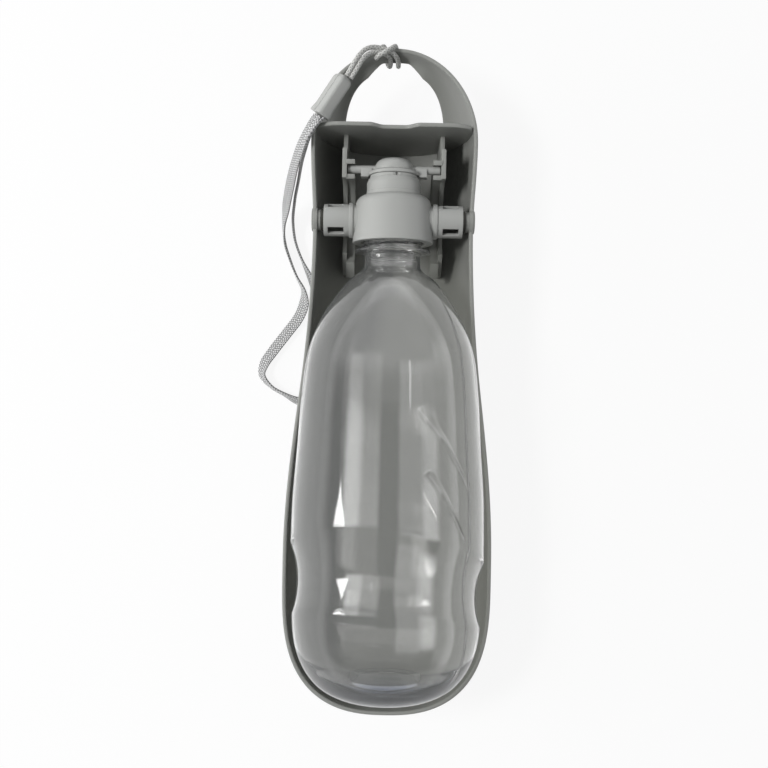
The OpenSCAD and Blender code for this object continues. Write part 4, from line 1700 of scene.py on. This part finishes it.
    def build(self) -> list[Object]:
        """Builds the spout's pieces and puts them on their bodies.

        Returns:
            The pieces.
        """
        grey, dark = self.finish.material(), Finishes.seal.material()
        rings = (
            ("seat_ring", self.seat_ring, 96, "seat_o_ring"),
            ("plug_ring", self.plug_ring, 64, "plug_seal"),
            ("mouth_gasket", self.gasket, 96, "collar_gasket"),
        )
        seals = [(lathe(name, outline, Axis.BOTTLE, around), node) for name, outline, around, node in rings]
        return [
            dress(self.nozzle(), grey, "spout", "fitting", "nozzle_ring"),
            dress(self.seat(), grey, "spout", "fitting", "valve_seat"),
            dress(self.bezel(), grey, "spout", "fitting"),
            dress(self.bezel_ribs(grey), grey, "spout", "fitting"),
            *[dress(piece, dark, "spout", "seal", node) for piece, node in seals],
            dress(self.cap(), grey, "cap", "fitting", "valve_cap"),
        ]


# The bottle


@dataclass
class Bottle:
    """The clear blown bottle, with its neck, the grip pressed into its sides and its thick base.

    Outlines are radius and place along from the pivot axis, with a rounding where there is a third value.
    """

    wall: float = 0.9
    around: int = 180
    outline: tuple[Flat, ...] = (
        (12.1, -17.1), (12.6, -21), (18.6, -26), (25.4, -34.4), (31.2, -44), (36, -57), (38.5, -76),
        (40.1, -99), (41.7, -120), (42.1, -134), (42.2, -146), (41.9, -160), (41.3, -172), (40.9, -178),
        (39.9, -184), (37.9, -190.2), (34.8, -196), (30.4, -201), (24.5, -204.6), (18, -206.6),
    )
    base: tuple[Flat, ...] = ((16.6, -206.8), (15.2, -206.4), (13.4, -205.0), (10, -203.8), (5, -203), (0, -202.8))
    inner_base: tuple[Flat, ...] = (
        (36.9, -190), (33.4, -194.8), (28.6, -198.6), (22.6, -200.8), (16.5, -201.2), (12, -200.6),
        (6, -199.8), (0, -199.6),
    )
    mouth: float = 6.5
    bore_r: float = 10.9
    bore_end: float = -16.5
    neck: tuple[Corner, ...] = (
        (12.4, 6.5, 0.4), (12.4, -12.9, 0.2), (16.1, -12.9, 0.3), (16.5, -13.5, 0.3), (16.5, -14.1, 0.3),
        (12.9, -14.5, 0.4), (12.1, -15.4, 0.5), (12.1, -17.1),
    )
    thread: Flat = (-12.3, 5.2)
    thread_pitch: float = 3.2
    thread_depth: float = 1.3
    thread_run: float = 1.5
    grip: Flat = (-146.0, -175.0)
    grip_free: Flat = (-197.0, -96.0)
    grip_slant: tuple[Flat, Flat] = ((17.0, -4.0), (12.0, -2.4))
    grip_depth: Flat = (2.3, 1.0)
    slant_start: float = -90.0
    slant_r: float = 20.0
    body_step: float = 0.85
    base_step: float = 0.8
    neck_step: float = 0.3
    bore_rows: int = 12
    finish: ClearPlastic = Finishes.clear

    def place_along(self, y: float, angle: float) -> float:
        """Where a row lies at an angle, because the grip slants towards the neck in front.

        Args:
            y: place along of the row where nothing slants.
            angle: angle about the bottle's axis in radians.

        Returns:
            Place along at that angle.
        """
        upper, lower = (up * math.sin(angle) + side * math.cos(angle) for up, side in self.grip_slant)
        stops = (self.grip_free[0], self.grip[1], self.grip[0], self.grip_free[1])
        return y + float(np.interp(y, stops, (0.0, lower, upper, 0.0)))

    def pressed(self, y: float, angle: float) -> float:
        """Depth of the grip on a row, less in front than at the sides.

        Args:
            y: place along of the row where nothing slants.
            angle: angle about the bottle's axis in radians.

        Returns:
            Depth of the grip in millimetres.
        """
        share = (self.grip[0] - y) / (self.grip[0] - self.grip[1])
        depth = self.grip_depth[0] + self.grip_depth[1] * (abs(math.cos(angle)) - 0.5)
        return depth * 4 * share * (1 - share) if 0 < share < 1 else 0.0

    def build(self) -> list[Object]:
        """Builds the bottle with its inner and outer faces.

        Returns:
            The bottle.
        """
        body = smooth_line(self.outline, self.body_step)
        neck = rounded(self.neck, 3)[:-1]
        fine_neck: list[Flat] = [neck[0]]
        for r, y in neck[1:]:
            r0, y0 = fine_neck[-1]
            count = max(1, round(abs(y - y0) / self.neck_step)) if abs(r - r0) < 0.01 else 1
            fine_neck += [(mix(r0, r, n / count), mix(y0, y, n / count)) for n in range(1, count + 1)]
        outer = [(self.bore_r, self.mouth), *fine_neck, *[(float(r), float(y)) for r, y in body], *self.base]
        inner = [(self.bore_r, self.bore_end)]
        inner += [(float(r) - self.wall, float(y)) for r, y in body[::2] if y > self.inner_base[0][1] + 1.0]
        inner += [(float(r), float(y)) for r, y in smooth_line(self.inner_base, self.base_step)]
        bore = [(self.bore_r, mix(self.mouth, self.bore_end, n / self.bore_rows)) for n in range(1, self.bore_rows)]
        rows = [*inner[::-1], *bore[::-1], *outer]
        first_outer = len(inner) + len(bore)
        radii, stations = body[::-1, 0], body[::-1, 1]
        neck_r, (low, high) = self.neck[0][0], self.thread
        points = []
        for a in range(self.around):
            angle = math.tau * a / self.around
            for n, (r, y) in enumerate(rows):
                radius, along = r, self.place_along(y, angle)
                if y < self.slant_start and r > self.slant_r:
                    radius += float(np.interp(along, stations, radii) - np.interp(y, stations, radii))
                    radius -= self.pressed(y, angle)
                if n >= first_outer and low - 0.2 < y < high + 0.3 and abs(r - neck_r) < 0.1:
                    turn = (y + self.thread_pitch * angle / math.tau) / self.thread_pitch
                    crest = max(0.0, math.cos(math.tau * turn)) ** 0.6
                    ends = ease((high - y) / self.thread_run) * ease((y - low) / self.thread_run)
                    radius += self.thread_depth * crest * ends
                points.append(turned_point(Axis.BOTTLE, radius, along, angle))
        piece = new_piece("bottle_shell", points, grid_faces(self.around, len(rows), True, False))
        finish_mesh(piece, weld=0.004, crease=50.0)
        return [dress(piece, self.finish.material(), "flask", "bottle", "bottle", "bottle_neck")]


# The wrist strap


@dataclass
class WristStrap:
    """Round cord hitched on the hand loop, the two-part connector and the woven wrist loop.

    The webbing's route has a fourth value, its roll from level in degrees. The connector's angles are degrees.
    """

    cord_d: float = 2.1
    web_w: float = 6.0
    web_t: float = 1.2
    cord_route: tuple[Point, ...] = (
        (-21.2, 61.2, 51.4), (-19.2, 64.8, 51.6), (-17.4, 68.2, 51), (-15.6, 71.4, 49.4), (-13, 74.3, 47.6),
        (-9.8, 75.7, 45.8), (-6.8, 75.8, 44.2), (-4, 75.3, 43.2), (-1.6, 74.4, 42.2), (0.2, 73.4, 39.8),
        (1, 72.7, 36), (1.2, 72.4, 32.4), (1.2, 72.8, 29), (1, 74.8, 27.6), (0.6, 77, 30.6), (0.2, 78, 35.6),
        (-0.4, 78.2, 39.8), (-1.2, 77, 42.6), (-2.8, 75.2, 45), (-5.2, 73.4, 46.2), (-7.6, 72.2, 45.4),
        (-8.6, 71.8, 43.2), (-8.4, 72.8, 41.6), (-7.4, 75, 41.8), (-6.4, 77, 41.6), (-5.4, 78.2, 38.8),
        (-4.8, 77.8, 34.2), (-4.2, 76, 29.6), (-3.6, 74, 27.8), (-2.8, 72.6, 29.2), (-2.4, 72.4, 32.4),
        (-2.4, 72.7, 36.4), (-2.8, 73.2, 39.8), (-4.4, 73.6, 42.4), (-6.8, 74, 44), (-9.6, 73.6, 45.6),
        (-12.4, 71.7, 47.8), (-14.6, 68.8, 50), (-16, 66.2, 51), (-17.4, 63.6, 51.2), (-19.4, 60.2, 51),
    )
    web_route: tuple[Corner, ...] = (
        (-33.4, 44.2, 51, 45), (-35.6, 40.8, 50.8, 42), (-40.4, 33.4, 45.8, 42), (-44.2, 26, 36.6, 38),
        (-47.4, 18.4, 25.2, 34), (-50.2, 10.4, 13.6, 44), (-51.8, 3, 6, 76), (-51.2, -5, 3.6, 90),
        (-48.7, -12.6, 3.6, 90), (-45.3, -20.8, 3.6, 86), (-42, -27.4, 3.4, 70), (-41.8, -33.3, 2.6, 34),
        (-44.2, -39.9, 2.2, 27), (-49.8, -47.7, 2.2, 27), (-56, -56, 2.2, 27), (-60.3, -62.7, 2.6, 36),
        (-61.1, -67.9, 3.2, 56), (-56.6, -73.4, 3.6, 75), (-50.4, -76.9, 3.6, 75),
        (-43.6, -80, 3, 50), (-36.2, -80.2, 1.8, 20),
        (-30.8, -75, 1, 0), (-28.4, -65, 1, 0), (-28.8, -54, 1, 0), (-31, -42.6, 1.2, -5),
        (-34.2, -32, 2, -25), (-38.2, -22.4, 3.2, -60), (-43, -12.6, 3.6, -85), (-46.4, -3.4, 3.8, -90),
        (-47.4, 5, 6, -88), (-46, 13.4, 14.6, -84), (-43.4, 21, 26, -82), (-41, 27.2, 37.2, -82),
        (-38.6, 31.6, 47.2, -84), (-36.6, 35, 51.4, -84), (-33.6, 39.8, 51.8, -78), (-31.4, 43, 51.2, -60),
    )
    connector_centre: Point = (-27.2, 52.8, 51.2)
    connector_turn: float = -33.0
    connector_pitch: float = 3.0
    connector_roll: float = 45.0
    connector_size: Point = (19.6, 7.4, 6.4)
    end_round: float = 3.2
    end_power: float = 2.4
    flare: float = 0.12
    flare_run: float = 4.0
    parting: float = 0.03
    groove: Flat = (0.26, 0.4)
    corner_r: float = 1.4
    web_power: float = 0.32
    web_relief: Point = (0.78, 0.15, 0.13)
    web_fill: float = 0.97
    cord_relief: Flat = (0.95, 0.07)
    cord_step: float = 0.3
    web_step: float = 0.42
    cord_sides: int = 20
    web_sides: int = 56
    cord_yarn: Yarn = Finishes.cord_yarn
    web_yarn: Yarn = Finishes.yarn

    def swept(self, name: str, line: np.ndarray, sideways: np.ndarray, ring: Ring, sides: int) -> Object:
        """Tube along a line, with a map that runs along it in millimetres and once round it.

        Args:
            name: name of the new object.
            line: points of the line.
            sideways: direction of the section's width at each point.
            ring: section's place across and up from the distance along and the share round.
            sides: faces round the tube.

        Returns:
            The tube, closed at both ends.
        """
        run = np.concatenate([[0.0], np.cumsum(np.linalg.norm(np.diff(line, axis=0), axis=1))])
        points = []
        for p, t, side, s in zip(line, headings(line), sideways, run):
            up = np.cross(t, side)
            for k in range(sides):
                a, b = ring(float(s), k / sides)
                points.append(tuple(p + side * a + up * b))
        faces: list[Sequence[int]] = list(grid_faces(len(line), sides, False, True))
        faces += [list(range(sides - 1, -1, -1)), [(len(line) - 1) * sides + k for k in range(sides)]]
        piece = new_piece(name, points, faces)
        layer = piece.data.uv_layers.new(name="weave")
        for face in piece.data.polygons:
            top = max(piece.data.loops[n].vertex_index % sides for n in face.loop_indices)
            for n in face.loop_indices:
                row, k = divmod(piece.data.loops[n].vertex_index, sides)
                turn = 1.0 if k == 0 and top == sides - 1 else k / sides
                layer.data[n].uv = (float(run[row]), turn)
        return finish_mesh(piece, weld=0.0002, crease=60.0)

    def carried(self, line: np.ndarray) -> np.ndarray:
        """Sideways directions carried along a line without twist.

        Args:
            line: points of the line.

        Returns:
            One direction for each point.
        """
        side = np.array([1.0, 0.0, 0.0])
        rows = []
        for t in headings(line):
            side = side - (side @ t) * t
            side /= np.linalg.norm(side)
            rows.append(side)
        return np.array(rows)

    def rolled(self, line: np.ndarray, roll: np.ndarray) -> np.ndarray:
        """Sideways directions rolled from level.

        Args:
            line: points of the line.
            roll: roll at each point in degrees.

        Returns:
            One direction for each point.
        """
        ahead = headings(line)
        level = np.cross(np.array([0.0, 0.0, 1.0]), ahead)
        level /= np.linalg.norm(level, axis=1)[:, None]
        up = np.cross(ahead, level)
        turn = np.radians(roll)[:, None]
        return level * np.cos(turn) + up * np.sin(turn)

    def cord(self) -> tuple[Object, np.ndarray]:
        """Braided round cord and its line.

        Returns:
            The cord, and the points of its line.
        """
        line = smooth_line(self.cord_route, self.cord_step)
        half, yarn = self.cord_d / 2, self.cord_yarn
        core, relief = self.cord_relief

        def ring(s: float, k: float) -> Flat:
            """Braid of crossing strands round the cord.

            Args:
                s: distance along the cord.
                k: share round it.

            Returns:
                Place across and up in the section.
            """
            angle = math.tau * k
            first, second = (math.sin(yarn.count * angle + way * s * yarn.pitch) for way in (1.0, -1.0))
            r = half * (core + relief * max(first, second))
            return r * math.cos(angle), r * math.sin(angle)

        return self.swept("strap_cord_braid", line, self.carried(line), ring, self.cord_sides), line

    def webbing(self) -> tuple[Object, np.ndarray]:
        """Flat webbing whose lengthwise ribs are crossed by picks.

        Returns:
            The webbing, and the points of its line.
        """
        route = smooth_line(self.web_route, self.web_step)
        line = route[:, :3]
        half, thick, yarn = self.web_w / 2, self.web_t / 2, self.web_yarn
        core, ribs, picks = self.web_relief

        def ring(s: float, k: float) -> Flat:
            """Flat section with ribs on both faces, raised by turns along it.

            Args:
                s: distance along the webbing.
                k: share round it.

            Returns:
                Place across and up in the section.
            """
            angle = math.tau * k
            a = signed_power(math.cos(angle), yarn.edge)
            b = signed_power(math.sin(angle), self.web_power)
            rib = a * yarn.count / 2
            over = math.cos(math.tau * rib)
            pick = math.sin(math.tau * (s / yarn.pitch + 0.5 * (round(rib) % 2)))
            return half * a * self.web_fill, thick * b * (core + ribs * over + picks * pick * abs(b))

        sideways = self.rolled(line, route[:, 3])
        return self.swept("strap_webbing_weave", line, sideways, ring, self.web_sides), line

    def connector_half(self, name: str, turned: bool) -> Object:
        """One half shell of the connector, with a groove beside the parting line.

        Args:
            name: name of the new object.
            turned: whether it is the back half.

        Returns:
            The half shell.
        """
        length, width, height = self.connector_size
        half_w, half_h = width / 2, height / 2
        inset, deep = self.groove
        corners = [
            (self.parting, -half_h + deep, 0.05), (inset, -half_h, 0.08), (half_w, -half_h, self.corner_r),
            (half_w, half_h, self.corner_r), (inset, half_h, 0.08), (self.parting, half_h - deep, 0.05),
        ]
        outline = rounded(corners, 5)
        roll = 180 - self.connector_roll if turned else -self.connector_roll
        turns = ((self.connector_turn, "Z"), (self.connector_pitch, "X"), (roll, "Y"), (90, "X"))
        place = Matrix.Translation(Vector(self.connector_centre))
        for degrees, about in turns:
            place @= Matrix.Rotation(math.radians(degrees), 4, about)

        def seat(a: float, b: float, depth: float) -> Point:
            """Sets the section at a depth along the connector."""
            return tuple(place @ Vector((a, b, depth)))

        rows = [(-length / 2 + self.end_round * (1 - math.cos(t))) for t in np.linspace(0.12, math.pi / 2, 9)]
        rows += [float(d) for d in np.linspace(-length / 2 + self.end_round + 1, length / 2, 14)]
        points: list[Point] = []
        for depth in rows:
            short = max(0.0, 1 - (depth + length / 2) / self.end_round)
            spread = 1 + self.flare * ease((depth - length / 2 + self.flare_run) / self.flare_run)
            k = (1 - short**self.end_power) ** (1 / self.end_power) * spread
            points += [seat(a * k, b * k, depth) for a, b in outline]
        faces: list[Sequence[int]] = list(grid_faces(len(rows), len(outline), False, True))
        faces += [list(range(len(outline))), [(len(rows) - 1) * len(outline) + n for n in range(len(outline))]]
        return bevelled(new_piece(name, points, faces), 0.35, 3, 50.0)

    def declare(self, piece: Object, line: np.ndarray, diameter: float) -> None:
        """Turns every second point of a cord's line, and its last, into metres, and does nothing further with them.

        Args:
            piece: the cord; not used.
            line: points of its line in millimetres from the pivot axis.
            diameter: its diameter, or a flat cord's width, in millimetres; not used.
        """
        route = [(x * MM, (y + PIVOT_Y) * MM, z * MM) for x, y, z in line[::2].tolist() + [line[-1].tolist()]]
        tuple(route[0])

    def build(self) -> list[Object]:
        """Builds the strap.

        Returns:
            The pieces.
        """
        shell = Finishes.connector.material()
        halves = [
            dress(self.connector_half("connector_shell_front", False), shell, "base", "connector", "connector_front"),
            dress(self.connector_half("connector_shell_back", True), shell, "base", "connector", "connector_back"),
        ]
        cord, cord_line = self.cord()
        web, web_line = self.webbing()
        dress(cord, self.cord_yarn.material(), "base", "strap", "strap_cord")
        dress(web, self.web_yarn.material(), "base", "strap", "strap_webbing")
        self.declare(cord, cord_line, self.cord_d)
        self.declare(web, web_line, self.web_w)
        return [*halves, cord, web]


# Floor, light and camera


@dataclass(frozen=True)
class Panel:
    """Bright part of the room above, as shiny things show it.

    Across is the angle from straight up towards +X in degrees, and along is the direction's share towards +Y. Soft is
    how far its edges fade: across, near and far. Taper is how much narrower its far end is.
    """

    across: Flat
    along: Flat
    level: float
    soft: Point = (3.0, 0.04, 0.04)
    taper: float = 0.0

    def glow(self, turn: Wire, along: Wire) -> Wire:
        """Brightness that the panel adds in a direction.

        Args:
            turn: angle of the direction from straight up towards +X in degrees.
            along: its share towards +Y.

        Returns:
            The brightness.
        """
        (left, right), (near, far), (side, first, last) = self.across, self.along, self.soft
        reach = (right - left) / 2 * (1 - (along - near) * (self.taper / (far - near)))
        inside = (reach - (turn - (left + right) / 2).size()).ramp(-side, side)
        edges = along.ramp(near - first, near + first) * (1 - along.ramp(far - last, far + last))
        return inside * edges * self.level


@dataclass
class Studio:
    """Pale floor, soft light from the left, and the camera above."""

    camera_at: Point = (-2.70, -71.15, 482.0)
    camera_up: Point = (-0.0183, 0.9998, 0.0)
    lens: float = 46.875
    sensor: float = 36.0
    near_clip: float = 0.01
    far_clip: float = 20.0
    floor_half: float = 4.0
    floor_glow: float = 0.9
    floor_tint: Colour = (0.9, 0.9, 0.9, 1.0)
    fill: float = 0.34
    fill_tint: Colour = (0.97, 0.985, 1.0, 1.0)
    ceiling: float = 0.24
    horizon: Flat = (0.08, 0.32)
    aim: Point = (0.0, 0.0, 0.04)
    lamps: tuple[tuple[str, Point, Flat, float], ...] = (
        ("softbox_high", (-0.72, 0.10, 1.02), (0.35, 0.2), 0.60),
        ("softbox_low", (-1.15, 0.12, 0.48), (0.6, 0.4), 0.22),
    )
    panels: tuple[Panel, ...] = (
        Panel((-54, -34), (-0.16, 0.14), 3.1, (5.0, 0.015, 0.09)),
        Panel((-36, -12), (-0.16, 0.10), 1.1, (4.0, 0.015, 0.07)),
        Panel((-67, -50), (-0.125, 0.045), 14.0, (1.5, 0.012, 0.02), 1.0),
        Panel((12, 42), (-0.45, 0.30), 1.25, (3.0, 0.06, 0.06)),
        Panel((42, 61), (-0.40, 0.08), 3.2, (5.0, 0.06, 0.06)),
        Panel((42, 61), (0.08, 0.30), 1.0, (5.0, 0.06, 0.06)),
        Panel((62, 95), (-0.60, 0.50), 0.9, (4.0, 0.10, 0.10)),
        Panel((24, 26.5), (0.13, 0.33), 3.0, (0.8, 0.03, 0.03)),
        Panel((-80, 80), (0.22, 1.2), 1.25, (20.0, 0.12, 0.10)),
    )

    def floor(self) -> Object:
        """White floor that keeps a faint shadow.

        Returns:
            The floor.
        """
        mesh = bpy.data.meshes.new("floor")
        corners = [(x * self.floor_half, y * self.floor_half, 0) for x, y in ((-1, -1), (1, -1), (1, 1), (-1, 1))]
        mesh.from_pydata(corners, [], [(0, 1, 2, 3)])
        floor = linked("floor", mesh)
        bench = Bench("floor_white")
        glow = bench.add("ShaderNodeEmission", values={"Color": WHITE, "Strength": 1.0})
        plain = bench.add("ShaderNodeBsdfDiffuse", values={"Color": self.floor_tint})
        seen = bench.ray("Camera", "Glossy", "Transmission") * self.floor_glow
        mesh.materials.append(bench.surface(bench.mixed(seen, plain, glow)))
        return floor

    def world(self) -> None:
        """White backdrop, with a darker room above that has bright panels, and a plain fill for the light."""
        world = bpy.data.worlds.new("surroundings")
        bpy.context.scene.world = world
        bench = Bench("surroundings", world)
        x, y, z = bench.parts(bench.place())
        turn = x.maths("ARCTAN2", x, z) * math.degrees(1)
        room = 1 - z.ramp(*self.horizon) + self.ceiling
        for panel in self.panels:
            room = room + panel.glow(turn, y)
        lights = ((WHITE, room), (WHITE, 1.0), (self.fill_tint, self.fill))
        shown, white, fill = (
            bench.add("ShaderNodeBackground", values={"Color": tint, "Strength": level}) for tint, level in lights
        )
        light = bench.mixed(bench.ray("Glossy", "Transmission"), fill, shown)
        bench.surface(bench.mixed(bench.ray("Camera"), light, white))

    def lamp(self, name: str, at: Point, size: Flat, level: float) -> Object:
        """Soft box aimed at the object.

        Args:
            name: name of the lamp.
            at: its place in metres.
            size: its size along the object and across it.
            level: how bright it makes white paper that faces it at the object.

        Returns:
            The lamp.
        """
        data = bpy.data.lights.new(name, "AREA")
        data.shape, data.size, data.size_y = "RECTANGLE", *size
        data.energy = level * math.pi**2 * Vector(at).length_squared
        lamp = linked(name, data)
        lamp.location = at
        lamp.rotation_euler = (Vector(self.aim) - Vector(at)).to_track_quat("-Z", "Y").to_euler()
        lamp.visible_glossy = lamp.visible_transmission = False
        return lamp

    def camera(self) -> Object:
        """Camera straight above, as in the photograph.

        Returns:
            The camera.
        """
        data = bpy.data.cameras.new("camera")
        data.lens, data.sensor_width, data.sensor_fit = self.lens, self.sensor, "HORIZONTAL"
        data.clip_start, data.clip_end = self.near_clip, self.far_clip
        camera = linked("camera", data)
        up = Vector(self.camera_up).normalized()
        back = Vector((0, 0, 1))
        right = up.cross(back).normalized()
        turn = Matrix((right, up, back)).transposed()
        x, y, z = self.camera_at
        camera.matrix_world = Matrix.Translation((x * MM, (y + PIVOT_Y) * MM, z * MM)) @ turn.to_4x4()
        bpy.context.scene.camera = camera
        return camera

    def build(self) -> None:
        """Sets up the floor, the light and the camera."""
        self.camera()
        self.floor()
        self.world()
        for lamp in self.lamps:
            self.lamp(*lamp)
        bpy.context.scene.view_settings.view_transform = "Standard"


def main() -> None:
    """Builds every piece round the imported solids."""
    logging.basicConfig(level=logging.INFO, format="%(message)s")
    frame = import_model()
    Studio().build()
    made = [piece for part in (WristStrap(), Trough(), Collar(), Spout(), Bottle()) for piece in part.build()]
    kinds = (
        ("pivot_pin", "pin", "base", "trough", 0.3, Finishes.trough.material()),
        ("hub_sleeve", "sleeve", "spout", "fitting", 0.3, Finishes.fitting.material()),
        ("pivot_washer", "washer", "base", "seal", 0.2, Finishes.seal.material()),
    )
    for side in Side:
        for node, name, body, slot, edge, material in kinds:
            kept = Softened(f"{node}_{side.label}", f"{name}_{side.label}", body, slot, edge)
            made.append(kept.build(frame, material))
    log.info("%d pieces", len(made))


if __name__ == "__main__":
    main()
